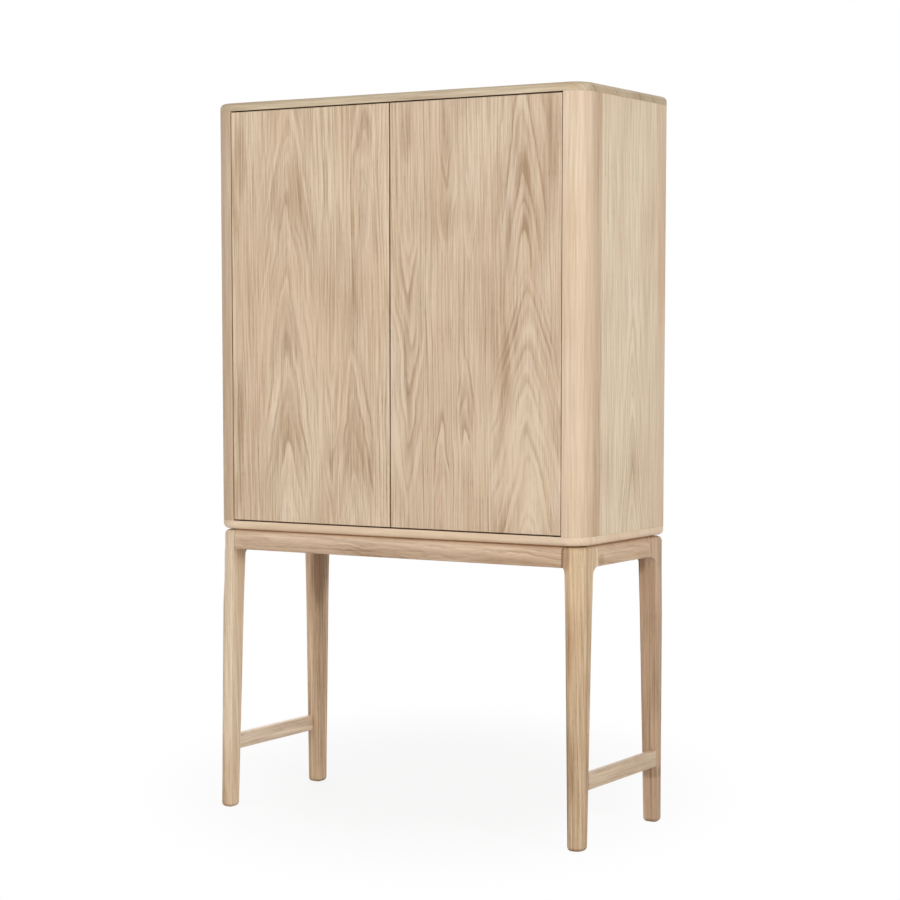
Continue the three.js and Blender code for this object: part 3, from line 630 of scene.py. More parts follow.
FINISHES: tuple[Finish, ...] = (
    # Left door: wide nested arches that mostly point up, and a few long brown marks.
    Oak(
        "oak_veneer_left_door", ("door_panel_left",), pale="#E1CCB1", warm="#DAC0A2",
        grain="#A98A69", ripple=1.7, ring_strength=0.4, fibre_strength=0.38, tone_strength=1.0,
        seed=1.7, **VENEER,
        arches=(
            Arch(-285, 1200, 104, 640, gain=0.72, rise=0.12, tip=8),
            Arch(-98, 850, 66, 330, gain=0.75, rise=0.13, tip=7),
            Arch(-157, 880, 30, 230, points_up=False, gain=0.9, rise=0.11),
            Arch(-72, 1590, 38, 170, gain=0.7, rise=0.12, tip=9),
        ),
        streaks=(
            Streak(-418, 1545, 22, 110, 0.42), Streak(-422, 960, 18, 150, 0.36),
            Streak(-432, 760, 14, 70, 0.3), Streak(-174, 1480, 10, 110, 0.36),
            Streak(-176, 1250, 12, 150, 0.2), Streak(-72, 1600, 30, 70, 0.26),
            Streak(-96, 1230, 12, 220, 0.24), Streak(-292, 920, 22, 110, 0.22),
            Streak(-52, 870, 9, 200, 0.22), Streak(-148, 1400, 16, 300, 0.12),
            Streak(-388, 1300, 30, 260, 0.1),
        ),
    ),
    # Right door: the liveliest figure, arches both ways up between stronger lines.
    Oak(
        "oak_veneer_right_door", ("door_panel_right",), pale="#DCC7AD", warm="#D4BA9C",
        grain="#A68768", ripple=1.8, ring_strength=0.6, fibre_strength=0.34, tone_strength=1.1,
        seed=4.3, **VENEER,
        arches=(
            Arch(346, 1500, 78, 310, gain=0.68, rise=0.1, tip=8),
            Arch(50, 1060, 52, 400, points_up=False, gain=0.85, rise=0.1, tip=7),
            Arch(151, 1440, 30, 150, points_up=False, gain=1.0, rise=0.12),
            Arch(211, 1410, 24, 120, points_up=False, gain=1.0, rise=0.12),
            Arch(138, 850, 28, 150, gain=1.0, rise=0.12),
            Arch(203, 990, 26, 120, gain=1.0, rise=0.12),
            Arch(360, 880, 108, 440, gain=0.62, rise=0.19, tip=12),
        ),
        streaks=(
            Streak(44, 1590, 22, 80, 0.36), Streak(150, 1560, 16, 110, 0.24),
            Streak(160, 1400, 26, 60, 0.2), Streak(358, 1440, 14, 130, 0.4),
            Streak(312, 1350, 13, 110, 0.32), Streak(330, 1540, 9, 90, 0.2),
            Streak(424, 1570, 24, 130, 0.46), Streak(402, 1440, 10, 160, 0.24),
            Streak(48, 1130, 14, 120, 0.24), Streak(56, 880, 12, 150, 0.2),
            Streak(304, 1060, 14, 140, 0.34), Streak(296, 880, 12, 130, 0.2),
            Streak(330, 1150, 10, 80, 0.2),
        ),
    ),
    # The same veneer on the sides: cooler and calmer, one arch group low down.
    Oak(
        "oak_veneer_side_panel", ("side_panel",), Run.UPRIGHT_SIDE, "#E6D5BA", "#E2CDB1",
        "#B39878", ring_strength=0.46, fibre_strength=0.34, pore_strength=0.2, seed=8.1,
        arches=(Arch(28, 880, 76, 470, gain=0.95, rise=0.15, tip=7),),
        streaks=(Streak(-129, 1180, 4.5, 4000, 0.5), Streak(-80, 840, 26, 200, 0.12)),
    ),
    # Left posts: nearly plain, a shade browner than the doors.
    Oak(
        "oak_solid_left_post", ("front_post_left", "back_post_left"), pale="#D0BA9F",
        warm="#CBB092", grain="#A98A6B", seed=2.9, **PLANED,
    ),
    # Right posts: paler, with one long soft line down the middle.
    Oak(
        "oak_solid_post", ("front_post_right", "back_post_right"), pale="#DCC6AC",
        warm="#D8BD9F", grain="#B39473", rise=0.01, seed=2.2, **PLANED,
        streaks=(
            Streak(317, 1180, 14, 1400, 0.26), Streak(312, 740, 16, 260, 0.16),
            Streak(312, 1640, 16, 220, 0.16),
        ),
    ),
    # Solid oak boards, grain the long way: the top one a little greyer, the bottom one paler.
    Oak(
        "oak_solid_top_board", ("top_board",), Run.LEVEL_WIDE, "#D5C5A8", "#CDB998", "#A0866A",
        ring_width=14.0, ring_strength=0.36, fibre_strength=0.26, pore_strength=0.14,
        end_darkness=0.35, seed=5.9,
    ),
    Oak(
        "oak_solid_bottom_board", ("bottom_board",), Run.LEVEL_WIDE, "#EBD5BA", "#E5CAAB",
        "#BB9A7C", ring_width=16.0, ring_strength=0.12, pore_strength=0.08, seed=5.2,
    ),
    # Solid oak rails: lively figure and a warmer, pinker brown than the boards.
    Oak(
        "oak_solid_rail", ("rail_front", "rail_back"), Run.LEVEL_WIDE, "#E6CCB0", "#DDBFA0",
        "#8E6B4C", rise=0.06, ring_width=11.0, sway=9.0, ripple=3.4, ripple_length=34.0,
        ring_strength=0.3, fibre_strength=0.2, pore_strength=0.14, tone_strength=0.9, seed=3.4,
        streaks=(
            Streak(211, 0, 22, 900, 0.3), Streak(390, -448.5, 900, 4.0, 0.25),
            Streak(390, 448.5, 900, 4.0, 1.0),
        ),
    ),
    Oak(
        "oak_solid_side_rail", ("rail_left", "rail_right"), Run.LEVEL_DEEP, "#D6BA9B", "#CAA886",
        "#987455", rise=0.06, ring_width=11.0, sway=7.0, ripple=3.0, ripple_length=44.0,
        ring_strength=0.4, fibre_strength=0.26, pore_strength=0.18, seed=6.6,
        streaks=(Streak(782, -112, 14, 18, 0.3), Streak(390, -126, 900, 1.8, 0.25)),
    ),
    # Front left leg: the palest stick, with a fine brown line down its edge, painted shadow of the
    # front rail high on its inner face, and painted shade round its foot's bottom rim.
    Oak(
        "oak_pale_leg", ("leg_front_left",), pale="#E9D3B6", warm="#E0C6A5", grain="#AC8A66",
        seed=7.9, **STICK,
        streaks=(
            Streak(-513, 340, 10, 460, 0.3), Streak(-466, 340, 14, 460, 0.12),
            # Painted shadow of the rail on the inner face under the shoulder; painted shade at the
            # foot and along its bottom rim.
            Streak(-460, 645, 18, 60, 0.5), Streak(-512, 14, 14, 60, 0.4),
            Streak(-486, 0, 90, 9, 0.5),
        ),
    ),
    # Front right leg: yellower, darker toward its foot, with painted shade beside the rail joint
    # under its shoulder and along the foot's bottom rim.
    Oak(
        "oak_warm_leg", ("leg_front_right",), pale="#DFC7A4", warm="#D6B993", grain="#987452",
        seed=7.3, **STICK,
        streaks=(
            Streak(274, 40, 60, 330, 0.4), Streak(247, 330, 8, 420, 0.44),
            # Painted shade beside the rail joint under the shoulder, and along the foot's bottom
            # rim.
            Streak(242, 655, 12, 46, 0.5), Streak(274, 0, 120, 9, 0.5),
            Streak(292, 420, 5, 260, 0.24),
        ),
    ),
    # Back left leg: a little pinker, with painted shade under its shoulder where the cabinet shades
    # it, and painted shade along the foot's bottom rim.
    Oak(
        "oak_brown_leg", ("leg_back_left",), pale="#E8CBAA", warm="#DCBC98", grain="#8F6F50",
        seed=8.8, **STICK,
        streaks=(
            # Painted shade under the shoulder, beneath the cabinet, and along the foot's bottom
            # rim.
            Streak(-266, 450, 22, 460, 0.3), Streak(-268, 572, 30, 150, 0.66),
            Streak(-270, 0, 90, 9, 0.5),
        ),
    ),
    # Back right leg: the darkest stick, with painted shadow under the side rail and under the
    # stretcher, and painted shade along the foot's bottom rim.
    Oak(
        "oak_tawny_leg", ("leg_back_right",), pale="#C8AA8C", warm="#BC9B7B", grain="#816246",
        seed=9.4, **STICK,
        streaks=(
            # Painted shadow under the side rail and under the stretcher; painted shade along the
            # foot's bottom rim.
            Streak(452, 612, 24, 38, 0.75), Streak(492, 120, 50, 18, 0.4),
            Streak(492, 0, 90, 9, 0.5),
        ),
    ),
    # Left stretcher: nearly as pale as fresh oak, partly painted light: a paler copy of the
    # stretcher oak that lifts the shade the carcass casts on it.
    Oak(
        "oak_solid_stretcher_left", ("stretcher_left",), pale="#F0DDC6", warm="#E8D0B5",
        seed=6.3, **STRETCHER,
    ),
    # Right stretcher: a shade darker.
    Oak(
        "oak_solid_stretcher_right", ("stretcher_right",), pale="#DCC8AF", warm="#D3BA9D",
        seed=6.1, **STRETCHER,
    ),
    # Oak inside, plainer than the doors, in each way that its boards run.
    Oak(
        "oak_veneer_back_panel", ("back_panel",), Run.UPRIGHT_FRONT,
        ring_width=14.0, ring_strength=0.26, seed=9.2,
    ),
    Oak(
        "oak_veneer_upright", ("lower_partition", "rack_upright", "fold_shelf_bracket"),
        Run.UPRIGHT_SIDE, ring_width=13.0, ring_strength=0.26, seed=9.8,
    ),
    Oak(
        "oak_veneer_shelf", ("worktop_shelf", "upper_shelf", "rack_level", "fold_shelf_board"),
        Run.LEVEL_WIDE, ring_width=13.0, ring_strength=0.26, seed=10.4,
    ),
    Oak(
        "oak_solid_runner", ("stem_rail",), Run.LEVEL_DEEP,
        ring_width=12.0, ring_strength=0.24, seed=11.1,
    ),
    # Oiled wood strip set back in the joint: a soft brown shadow line, dull with a faint grain.
    GrainedSkin(
        "oiled_wood_strip", ("dark_strip",), "#B08A64", "#9C7852", 0.7,
        grain_size=1.2, relief=0.05, ior=1.5,
    ),
    # Blackened steel pins: a deep oiled grey that stays dark in the thin gaps round the doors.
    TurnedMetal("blackened_steel", ("door_pivot",), "#2B2A29", "#1C1B1A", 0.42),
    # Zinc-plated steel: soft grey shine broken by fine turning lines.
    TurnedMetal("zinc_plated_steel", ("steel",), "#B9BCC0", "#9EA2A6", 0.34),
    # Satin brass: warm yellow, gently dulled by handling.
    TurnedMetal("satin_brass", ("brass",), "#D8B36A", "#B8924F", 0.3),
    # Moulded nylon: near-black with a fine mould grain and a soft sheen.
    GrainedSkin(
        "moulded_nylon", ("polymer",), "#26262A", "#34343A", 0.48,
        grain_size=0.8, relief=0.04, ior=1.53,
    ),
)


# ---------------------------------------------------------------- meshes


def corner_outlines(low: np.ndarray, high: np.ndarray, radii: np.ndarray, steps: int) -> np.ndarray:
    """Outlines of rectangles with rounded corners, one for each ring.

    Formula: each corner is a quarter circle, its centre plus radius times (cosine, sine) of an
    angle that runs a quarter turn; the four follow each other counter-clockwise from the low one.

    Args:
        low: (rings, 2) low corners.
        high: (rings, 2) high corners.
        radii: (rings, 4) corner radii, in the corners' order.
        steps: parts of each quarter circle.

    Returns:
        (rings, 4 * (steps + 1), 2) points.
    """
    corners = np.stack(
        [low, np.stack([high[:, 0], low[:, 1]], -1), high, np.stack([low[:, 0], high[:, 1]], -1)],
        axis=1,
    )
    centres = corners - np.array(CORNERS, float)[None] * radii[..., None]
    start = np.array([math.pi, 1.5 * math.pi, 0.0, 0.5 * math.pi])
    angle = start[:, None] + np.linspace(0, math.pi / 2, steps + 1)[None]
    circle = np.stack([np.cos(angle), np.sin(angle)], axis=-1)
    points = centres[:, :, None, :] + radii[:, :, None, None] * circle[None]
    return points.reshape(len(low), -1, 2)


def quarter(steps: int) -> tuple[np.ndarray, np.ndarray]:
    """A quarter turn as (one minus cosine, sine), from (0, 0) to (1, 1)."""
    angle = np.linspace(0, math.pi / 2, steps + 1)
    return 1 - np.cos(angle), np.sin(angle)


def shell(rings: np.ndarray) -> Skin:
    """Closed skin over rings of points, which turn counter-clockwise round the path they follow.

    Args:
        rings: (rings, points, 3) places in mm.

    Returns:
        (points, 3) places in mm, and the faces: a quad between each two neighbours, and two caps.
    """
    count, around, _ = rings.shape
    index = np.arange(count * around).reshape(count, around)
    here, above = index[:-1], index[1:]
    quads = np.stack([here, np.roll(here, -1, 1), np.roll(above, -1, 1), above], axis=-1)
    caps = (index[0, ::-1].tolist(), index[-1].tolist())
    return rings.reshape(-1, 3), [*quads.reshape(-1, 4).tolist(), *caps]


def stand_up(outlines: np.ndarray, heights: np.ndarray) -> np.ndarray:
    """Rings in the XY plane at the given heights: (rings, points, 3)."""
    level = np.broadcast_to(heights[:, None, None], (*outlines.shape[:2], 1))
    return np.concatenate([outlines, level], axis=-1)


class Bench:
    """Puts finished pieces into the frame and dresses the ones that the frame already has."""

    def __init__(self, nodes: dict[str, bpy.types.Object]) -> None:
        """Makes every finish once.

        Args:
            nodes: the frame's nodes.
        """
        self.nodes = nodes
        self.made = [(finish.worn_by, finish.build()) for finish in FINISHES]

    def finish(self, node: str, slot: str) -> Material:
        """Finds what a node wears, by its own name or else by its slot's.

        Args:
            node: the node.
            slot: its material slot in the record.

        Returns:
            The material.
        """
        for name in (node, slot):
            for starts, material in self.made:
                if name.startswith(starts):
                    return material
        raise ValueError(f"{node} has no finish for {slot}")

    def place(
        self, node: str, skin: Skin, slot: str, body: str = "cabinet", unit: float = METRES
    ) -> None:
        """Makes one piece from its skin and lets it stand for a node of the frame.

        Args:
            node: the node it replaces.
            skin: its points and its faces.
            slot: the record's material slot.
            body: the body it moves with.
            unit: the points' unit, in metres.
        """
        points, faces = skin
        name = f"{node}_oak"
        mesh = bpy.data.meshes.new(name)
        mesh.from_pydata((points * unit).tolist(), [], faces)
        mesh.materials.append(self.finish(node, slot))
        mesh.shade_smooth()
        mesh.set_sharp_from_angle(angle=SMOOTH_ANGLE)
        piece = bpy.data.objects.new(name, mesh)
        bpy.context.scene.collection.objects.link(piece)
        flat = piece.modifiers.new("flat_faces_stay_flat", "WEIGHTED_NORMAL")
        flat.keep_sharp = True
        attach(piece, body)
        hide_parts(node)
        log.info("%s: %d faces, rides on %s", name, len(mesh.polygons), body)

    def copy(self, node: str, slot: str) -> None:
        """Makes a smooth piece from a node with drilled holes: its loose triangles are joined.

        Args:
            node: the node it is made from and replaces.
            slot: the record's material slot.
        """
        mesh = self.nodes[node].data
        source = np.empty(len(mesh.vertices) * 3, np.float32)
        mesh.vertices.foreach_get("co", source)
        corners = np.empty(len(mesh.loops), np.int32)
        mesh.loops.foreach_get("vertex_index", corners)
        rounded = np.round(source.reshape(-1, 3), JOIN_DIGITS)
        places, joined = np.unique(rounded, axis=0, return_inverse=True)
        faces = joined.reshape(-1)[corners].reshape(-1, 3)
        whole = (faces != np.roll(faces, 1, axis=1)).all(axis=1)
        self.place(node, (places, faces[whole].tolist()), slot, unit=1.0)

    def dress(self, node: str) -> None:
        """Gives a node of the frame its finish.

        Args:
            node: the node.
        """
        slots = self.nodes[node].material_slots
        finish = self.finish(node, slots[0].material.name)
        for place in slots:
            place.material = finish
        log.info("%s: kept, dressed in %s", node, finish.name)


@dataclass
class LegFrame:
    """Four tapered legs, the rails between them and the two side stretchers; all sizes in mm.

    A pair holds a size of the front legs and of the back legs.
    """

    half_width: float = 497.0
    half_depth: float = 204.0
    height: float = 675.0
    rail_height: float = 45.0
    rail_thickness: float = 28.0
    rail_arris: float = 1.5
    top_round: float = 12.0
    block_width: float = 48.5
    block_depth: float = 78.0
    block_radius: Pair = (46.0, 19.0)
    top_width: Pair = (43.5, 46.0)
    top_depth: Pair = (54.0, 44.0)
    shoulder_radius: Pair = (36.0, 15.0)
    foot_radius: Pair = (14.0, 13.0)
    foot_width: float = 34.5
    foot_depth: float = 34.0
    fillet_height: float = 18.0
    round_out_height: float = 150.0
    edge_radius: float = 4.0
    seam_arris: float = 1.2
    chamfer_width: float = 7.0
    chamfer_height: float = 10.0
    stretcher_low: float = 134.0
    stretcher_height: float = 38.0
    stretcher_thickness: float = 16.0
    stretcher_arris: float = 2.0
    round_steps: int = 8
    fillet_steps: int = 12
    taper_steps: int = 5
    bend_steps: int = 11
    corner_steps: int = 10
    arris_steps: int = 4

    def shaft(self, side_y: int, heights: np.ndarray) -> tuple[np.ndarray, np.ndarray, np.ndarray]:
        """Width, depth and outer radius of a leg's shaft, straight lines from foot to shoulder.

        Args:
            side_y: -1 for a front leg, 1 for a back leg.
            heights: heights above the floor.

        Returns:
            Width, depth and outer corner radius at each height.
        """
        rise = heights / (self.height - self.rail_height - self.fillet_height)
        back = side_y > 0
        foot_radius = self.foot_radius[back]
        width = self.foot_width + (self.top_width[back] - self.foot_width) * rise
        depth = self.foot_depth + (self.top_depth[back] - self.foot_depth) * rise
        radius = foot_radius + (self.shoulder_radius[back] - foot_radius) * rise
        return width, depth, radius

    def leg(self, side_x: int, side_y: int) -> Skin:
        """One leg: rounded foot, straight taper, quarter-ellipse fillet into its block, round top.

        The outer edge's radius grows in a straight line from the foot, then along 3t squared minus
        2t cubed up to the block's own radius.

        Args:
            side_x: -1 for left, 1 for right.
            side_y: -1 for front, 1 for back.

        Returns:
            The leg's skin.
        """
        block_low = self.height - self.rail_height
        shoulder = block_low - self.fillet_height
        bend = block_low - self.round_out_height
        tuck, rise = quarter(self.round_steps)
        taper_z = np.linspace(self.chamfer_height, bend, self.taper_steps + 1)[1:]
        bend_z = np.linspace(bend, shoulder, self.bend_steps + 1)[1:]
        low_z = np.concatenate([self.chamfer_height * tuck, taper_z, bend_z])
        spread, lift = (part[1:] for part in quarter(self.fillet_steps))
        round_z = self.height - self.top_round + self.top_round * rise
        heights = np.concatenate([low_z, shoulder + self.fillet_height * lift, round_z])
        width, depth, _ = self.shaft(side_y, low_z)
        widths, depths = (
            np.concatenate([low, low[-1] + (block - low[-1]) * spread, np.full(len(rise), block)])
            for low, block in ((width, self.block_width), (depth, self.block_depth))
        )
        climb_out = np.clip((heights - bend) / self.round_out_height, 0, 1)
        ease = climb_out**2 * (3 - 2 * climb_out)
        edges = self.edge_radius + (self.seam_arris - self.edge_radius) * ease
        shaft_radius = self.shaft(side_y, heights)[2]
        outer_radius = shaft_radius + (self.block_radius[side_y > 0] - shaft_radius) * ease
        outer_radius = np.minimum(outer_radius, np.minimum(widths, depths) - edges)
        inset, outer_inset = np.zeros((2, len(heights)))
        inset[: len(rise)] = self.chamfer_width * (1 - rise)
        outer_inset[-len(tuck) :] = self.top_round * tuck
        outer = np.array([[self.half_width], [self.half_depth]]) - outer_inset - inset
        inner = np.stack([self.half_width - widths + inset, self.half_depth - depths + inset])
        signs = np.array([side_x, side_y], float)
        low = np.minimum(outer.T * signs, inner.T * signs)
        high = np.maximum(outer.T * signs, inner.T * signs)
        radii = np.repeat(edges[:, None], 4, axis=1)
        radii[:, CORNERS.index((side_x, side_y))] = outer_radius - outer_inset
        return shell(stand_up(corner_outlines(low, high, radii, self.corner_steps), heights))

    def side_rail(self, side_x: int) -> Skin:
        """One side rail: a board profile with a rounded top outer edge, carried front to back.

        Args:
            side_x: -1 for left, 1 for right.

        Returns:
            The rail's skin.
        """
        tuck, rise = quarter(self.round_steps)
        arris, thick, tall = self.rail_arris, self.rail_thickness, self.rail_height
        edge = [[arris, 0], [thick - arris, 0], [thick, arris], [thick, tall]]
        crown = np.stack([self.top_round * tuck, tall - self.top_round + self.top_round * rise], -1)
        profile = np.concatenate([edge, crown[::-1], [[0, arris]]])
        middle = profile.mean(axis=0)
        cut = self.seam_arris
        ends = np.array([-1, -1, 1, 1]) * (self.half_depth - self.block_depth)
        along = ends + np.array([0, cut, -cut, 0])
        pull = np.array([cut, 0, 0, cut])
        shrink = 1 - pull[:, None, None] / np.array([thick / 2, tall / 2])
        rings = middle + (profile[None] - middle) * shrink
        x = side_x * (self.half_width - rings[..., 0])
        y = np.broadcast_to(along[:, None] * -side_x, x.shape)
        return shell(np.stack([x, y, self.height - tall + rings[..., 1]], axis=-1))

    def stretcher(self, side_x: int) -> Skin:
        """One side stretcher: a flat bar whose ends follow the taper of the two legs it meets.

        Args:
            side_x: -1 for left, 1 for right.

        Returns:
            The stretcher's skin.
        """
        arris = self.stretcher_arris
        tuck, rise = quarter(self.arris_steps)
        depth_in = arris * np.concatenate([1 - rise, (1 - rise)[::-1]])
        across = np.concatenate([arris * tuck, self.stretcher_thickness - (arris * tuck)[::-1]])
        low = self.stretcher_low + depth_in
        high = self.stretcher_low + self.stretcher_height - depth_in
        front_low, front_high = (self.shaft(-1, z)[1] - self.half_depth for z in (low, high))
        back_low, back_high = (self.half_depth - self.shaft(1, z)[1] for z in (low, high))
        y = np.stack([front_low, back_low, back_high, front_high], axis=-1)
        z = np.stack([low, low, high, high], axis=-1)
        inner = self.half_width - self.stretcher_thickness if side_x > 0 else -self.half_width
        x = np.broadcast_to((inner + across)[:, None], y.shape)
        return shell(np.stack([x, y, z], axis=-1))

    def build(self, bench: Bench) -> None:
        """Makes the whole leg frame.

        Args:
            bench: where pieces are put together.
        """
        for side, side_x in SIDES:
            for end, side_y in ENDS:
                bench.place(f"leg_{end}_{side}", self.leg(side_x, side_y), "leg_oak")
            bench.place(f"rail_{side}", self.side_rail(side_x), "rail_oak")
            bench.place(f"stretcher_{side}", self.stretcher(side_x), "rail_oak")
        for end, _ in ENDS:
            bench.copy(f"rail_{end}", "rail_oak")


@dataclass
class Carcass:
    """The box: top and bottom boards, four rounded posts and two side panels; all sizes in mm.

    A pair holds a size of the front posts and of the back posts.
    """

    half_width: float = 500.0
    half_depth: float = 207.0
    low: float = 698.0
    high: float = 1665.0
    post_width: Pair = (53.5, 24.0)
    post_depth: Pair = (79.0, 58.0)
    post_radius: Pair = (49.0, 22.0)
    side_thickness: float = 24.0
    seam_arris: float = 0.5
    least_radius: float = 0.2
    corner_steps: int = 16

    def upright(self, x: Pair, y: Pair, radii: list[float]) -> Skin:
        """An upright with rounded corners between the two boards, its ends eased by an arris.

        Args:
            x: its two X faces.
            y: its two Y faces.
            radii: corner radii, counter-clockwise from the low corner.

        Returns:
            Its skin.
        """
        cut = self.seam_arris
        inset = np.array([cut, 0.0, 0.0, cut])
        heights = np.array([self.low, self.low + cut, self.high - cut, self.high])
        low = np.array([min(x), min(y)]) + inset[:, None]
        high = np.array([max(x), max(y)]) - inset[:, None]
        radius = np.maximum(np.array(radii)[None] - inset[:, None], self.least_radius)
        return shell(stand_up(corner_outlines(low, high, radius, self.corner_steps), heights))

    def post(self, side_x: int, side_y: int) -> Skin:
        """One corner post, rounded on its outer corner.

        Args:
            side_x: -1 for left, 1 for right.
            side_y: -1 for front, 1 for back.

        Returns:
            Its skin.
        """
        back = side_y > 0
        radii = [self.seam_arris] * 4
        radii[CORNERS.index((side_x, side_y))] = self.post_radius[back]
        x = (side_x * self.half_width, side_x * (self.half_width - self.post_width[back]))
        y = (side_y * self.half_depth, side_y * (self.half_depth - self.post_depth[back]))
        return self.upright(x, y, radii)

    def build(self, bench: Bench) -> None:
        """Makes the box.

        Args:
            bench: where pieces are put together.
        """
        for side, side_x in SIDES:
            for end, side_y in ENDS:
                bench.place(f"{end}_post_{side}", self.post(side_x, side_y), "post_oak")
            x = (side_x * self.half_width, side_x * (self.half_width - self.side_thickness))
            y = (self.post_depth[0] - self.half_depth, self.half_depth - self.post_depth[1])
            panel = self.upright(x, y, [self.seam_arris] * 4)
            bench.place(f"side_panel_{side}", panel, "side_oak")
        for board in ("bottom_board", "top_board"):
            bench.copy(board, "board_oak")


@dataclass
class Doors:
    """Two flush door panels; all sizes in mm."""

    hinge_edge: float = 444.5
    free_edge: float = 1.5
    low: float = 701.0
    high: float = 1662.0
    front: float = -207.0
    thickness: float = 20.0
    front_arris: float = 2.0
    edge_radius: float = 0.5
    arris_steps: int = 6
    corner_steps: int = 3

    def panel(self, side_x: int) -> Skin:
        """One door: a flat panel, its front edges eased by a quarter round.

        Args:
            side_x: -1 for left, 1 for right.

        Returns:
            Its skin.
        """
        tuck, rise = quarter(self.arris_steps)
        arris = self.front_arris
        inset = np.concatenate([[self.edge_radius, 0.0], arris * tuck])
        depth = np.concatenate([[0.0, self.edge_radius], self.thickness - arris + arris * rise])
        x = sorted((side_x * self.hinge_edge, side_x * self.free_edge))
        low = np.array([x[0], self.low]) + inset[:, None]
        high = np.array([x[1], self.high]) - inset[:, None]
        radii = np.full((len(inset), 4), self.edge_radius)
        outlines = corner_outlines(low, high, radii, self.corner_steps)
        level = self.front + self.thickness - depth
        y = np.broadcast_to(level[:, None], outlines.shape[:2])
        return shell(np.stack([outlines[..., 0], y, outlines[..., 1]], axis=-1))

    def build(self, bench: Bench) -> None:
        """Makes both doors.

        Args:
            bench: where pieces are put together.
        """
        for side, side_x in SIDES:
            bench.place(f"door_panel_{side}", self.panel(side_x), "door_oak", f"door_{side}")


class Fittings:
    """All that keeps its shape from the frame: the inside, the hardware and the dark strips."""

    def build(self, bench: Bench) -> None:
        """Dresses every node that no piece stands for.

        Args:
            bench: where pieces are dressed.
        """
        for name, node in sorted(bench.nodes.items()):
            if not node.hide_render:
                bench.dress(name)


# ---------------------------------------------------------------- studio


@dataclass
class Lamp:
    """A large soft lamp: its place, its aim, its size in metres and its power in watts."""

    name: str
    place: Triple
    aim: Triple
    size: Pair
    power: float

    def build(self) -> None:
        """Makes the lamp."""
        data = bpy.data.lights.new(self.name, "AREA")
        data.shape = "RECTANGLE"
        data.size, data.size_y = self.size
        data.energy = self.power
        lamp = bpy.data.objects.new(self.name, data)
        bpy.context.scene.collection.objects.link(lamp)
        lamp.location = self.place
        toward = Vector(self.aim) - Vector(self.place)
        lamp.rotation_euler = toward.to_track_quat("-Z", "Y").to_euler()
        log.info("%s: %.0f W", self.name, self.power)


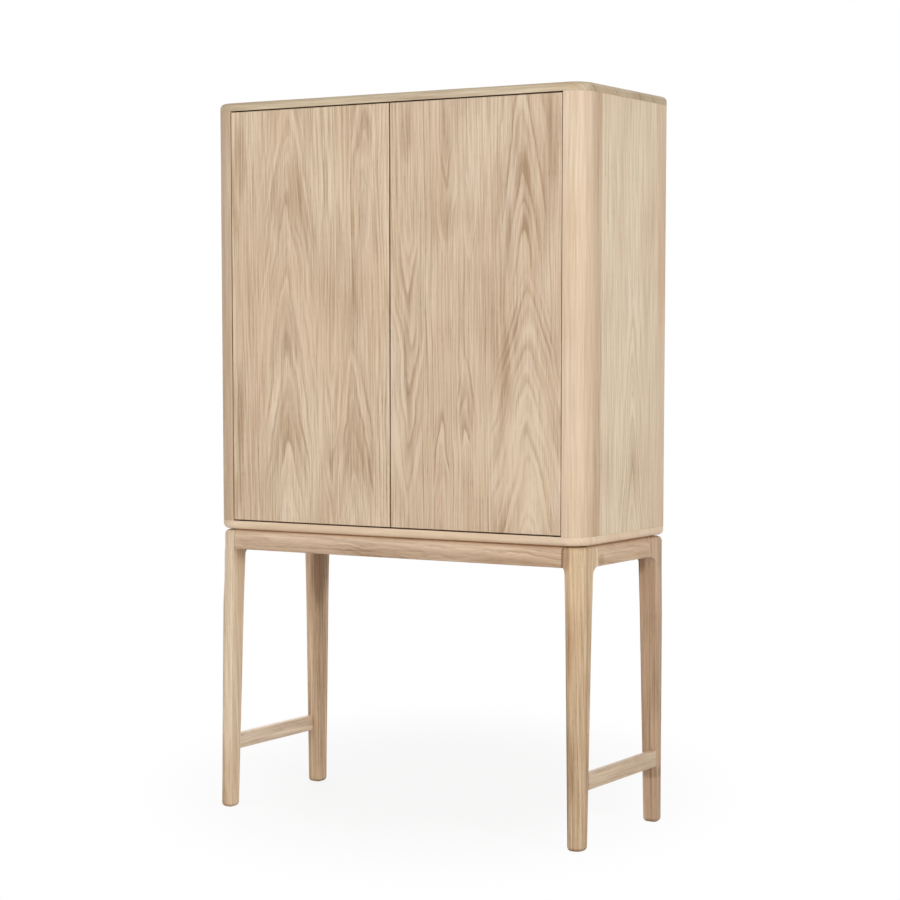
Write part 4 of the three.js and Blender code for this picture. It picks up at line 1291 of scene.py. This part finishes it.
@dataclass
class Studio:
    """Pale floor, white surroundings, soft lamps and the camera; metres and radians."""

    ambient: float = 0.51
    ambient_above: float = 0.38
    floor_half: float = 12.0
    floor_white: str = "#E6E6E6"
    shadow_share: float = 0.15
    shadow_core: float = 0.3
    shadow_middle: Triple = (-0.23, 0.38, 0.0)
    shadow_turn: float = 0.54
    shadow_reach: Triple = (0.86, 1.35, 1.0)
    sensor_width: float = 36.0
    farthest: float = 100.0
    focal_pixels: float = 2294.3508433878796
    yaw: float = 0.53938811615228
    pitch: float = -0.08622342380946635
    roll: float = 0.0010173069911244537
    eye: Triple = (2.8597451812951535, -4.603315993342222, 1.1295398476549447)
    principal: Pair = (25.478546123700614, 88.07299190898425)
    lamps: tuple[Lamp, ...] = (
        Lamp("key_soft_box", (4.4, -2.4, 2.2), (0.0, 0.0, 1.1), (2.6, 2.2), 113.0),
        Lamp("front_soft_box", (-1.0, -4.8, 2.2), (0.0, 0.0, 1.1), (2.6, 2.2), 68.0),
        Lamp("back_soft_box", (-3.2, 3.8, 2.0), (0.0, 0.0, 1.0), (2.6, 2.2), 76.0),
    )

    def floor(self) -> None:
        """A wide plane; seen directly it is white apart from the cabinet's soft shadow."""
        mesh = bpy.data.meshes.new("studio_floor")
        corners = [(x * self.floor_half, y * self.floor_half, 0.0) for x, y in CORNERS]
        mesh.from_pydata(corners, [], [(0, 1, 2, 3)])
        material = bpy.data.materials.new("white_studio_paper")
        nodes = Nodes.of(material)
        paper = nodes.add("BsdfDiffuse", {"Color": linear(self.floor_white)})
        glow = nodes.add("Emission", {"Color": WHITE, "Strength": 1.0})
        at = nodes.add("TexCoord", output="Object")
        offset = nodes.add("VectorMath", (at, self.shadow_middle), operation="SUBTRACT")
        turn = {"Vector": offset, "Angle": -self.shadow_turn}
        turned = nodes.add("VectorRotate", turn, rotation_type="Z_AXIS")
        scaled = nodes.add("VectorMath", (turned, self.shadow_reach), operation="DIVIDE")
        away = nodes.add("VectorMath", (scaled,), "Value", operation="LENGTH")
        span = {"Value": away, "From Min": self.shadow_core, "To Min": 1 - self.shadow_share}
        whiteness = nodes.add("MapRange", span, interpolation_type="SMOOTHSTEP")
        share = nodes.add("Math", (self._seen(nodes), whiteness), operation="MULTIPLY")
        mixed = nodes.add("MixShader", (share, paper, glow))
        nodes.add("OutputMaterial", {"Surface": mixed})
        mesh.materials.append(material)
        floor = bpy.data.objects.new("studio_floor", mesh)
        bpy.context.scene.collection.objects.link(floor)

    def _seen(self, nodes: Nodes) -> Socket:
        """1 for rays from the camera, in a reflection or through glass, else 0.

        Args:
            nodes: the nodes it is for.

        Returns:
            The flag.
        """
        rays = nodes.add("LightPath").node.outputs
        seen = rays["Is Camera Ray"]
        for name in ("Is Glossy Ray", "Is Transmission Ray"):
            seen = nodes.add("Math", (seen, rays[name]), operation="MAXIMUM")
        return seen

    def surroundings(self) -> None:
        """White where it is seen, and a soft even light everywhere else."""
        world = bpy.data.worlds.new("white_surroundings")
        bpy.context.scene.world = world
        nodes = Nodes.of(world)
        direction = nodes.add("TexCoord", output="Generated")
        height = nodes.add("SeparateXYZ", (direction,), "Z")
        span = {"Value": height, "From Min": 0.1, "From Max": 0.9}
        span |= {"To Min": self.ambient, "To Max": self.ambient_above}
        soft = nodes.add("MapRange", span, interpolation_type="SMOOTHSTEP")
        inputs = {"Factor": self._seen(nodes), 2: soft, 3: 1.0}
        strength = nodes.add("Mix", inputs, data_type="FLOAT")
        glow = nodes.add("Background", {"Color": WHITE, "Strength": strength})
        nodes.add("OutputWorld", {"Surface": glow})

    def camera(self) -> None:
        """The camera at the photograph's angle, turned by yaw, pitch and a very small roll."""
        level = math.cos(self.pitch)
        forward = np.array(
            [-math.sin(self.yaw) * level, math.cos(self.yaw) * level, math.sin(self.pitch)]
        )
        right = np.array([math.cos(self.yaw), math.sin(self.yaw), 0.0])
        up = np.cross(right, forward)
        turned_right = math.cos(self.roll) * right + math.sin(self.roll) * up
        turned_up = -math.sin(self.roll) * right + math.cos(self.roll) * up
        data = bpy.data.cameras.new("camera")
        data.sensor_fit = "HORIZONTAL"
        data.sensor_width = self.sensor_width
        data.lens = self.focal_pixels / IMAGE_SIZE * self.sensor_width
        data.shift_x = -self.principal[0] / IMAGE_SIZE
        data.shift_y = self.principal[1] / IMAGE_SIZE
        data.clip_end = self.farthest
        camera = bpy.data.objects.new("camera", data)
        bpy.context.scene.collection.objects.link(camera)
        axes = np.stack([turned_right, turned_up, -forward], axis=1)
        camera.matrix_world = Matrix.Translation(self.eye) @ Matrix(axes.tolist()).to_4x4()
        bpy.context.scene.camera = camera

    def build(self) -> None:
        """Makes the floor, the surroundings, the lamps and the camera."""
        bpy.context.scene.view_settings.view_transform = "Standard"
        self.floor()
        self.surroundings()
        for lamp in self.lamps:
            lamp.build()
        self.camera()


def main() -> None:
    """Builds the studio and every sub-assembly of the cabinet, in order."""
    logging.basicConfig(level=logging.INFO, format="%(name)s: %(message)s")
    Studio().build()
    bench = Bench(frame["nodes"])
    for assembly in (LegFrame(), Carcass(), Doors(), Fittings()):
        assembly.build(bench)


if __name__ == "__main__":
    main()
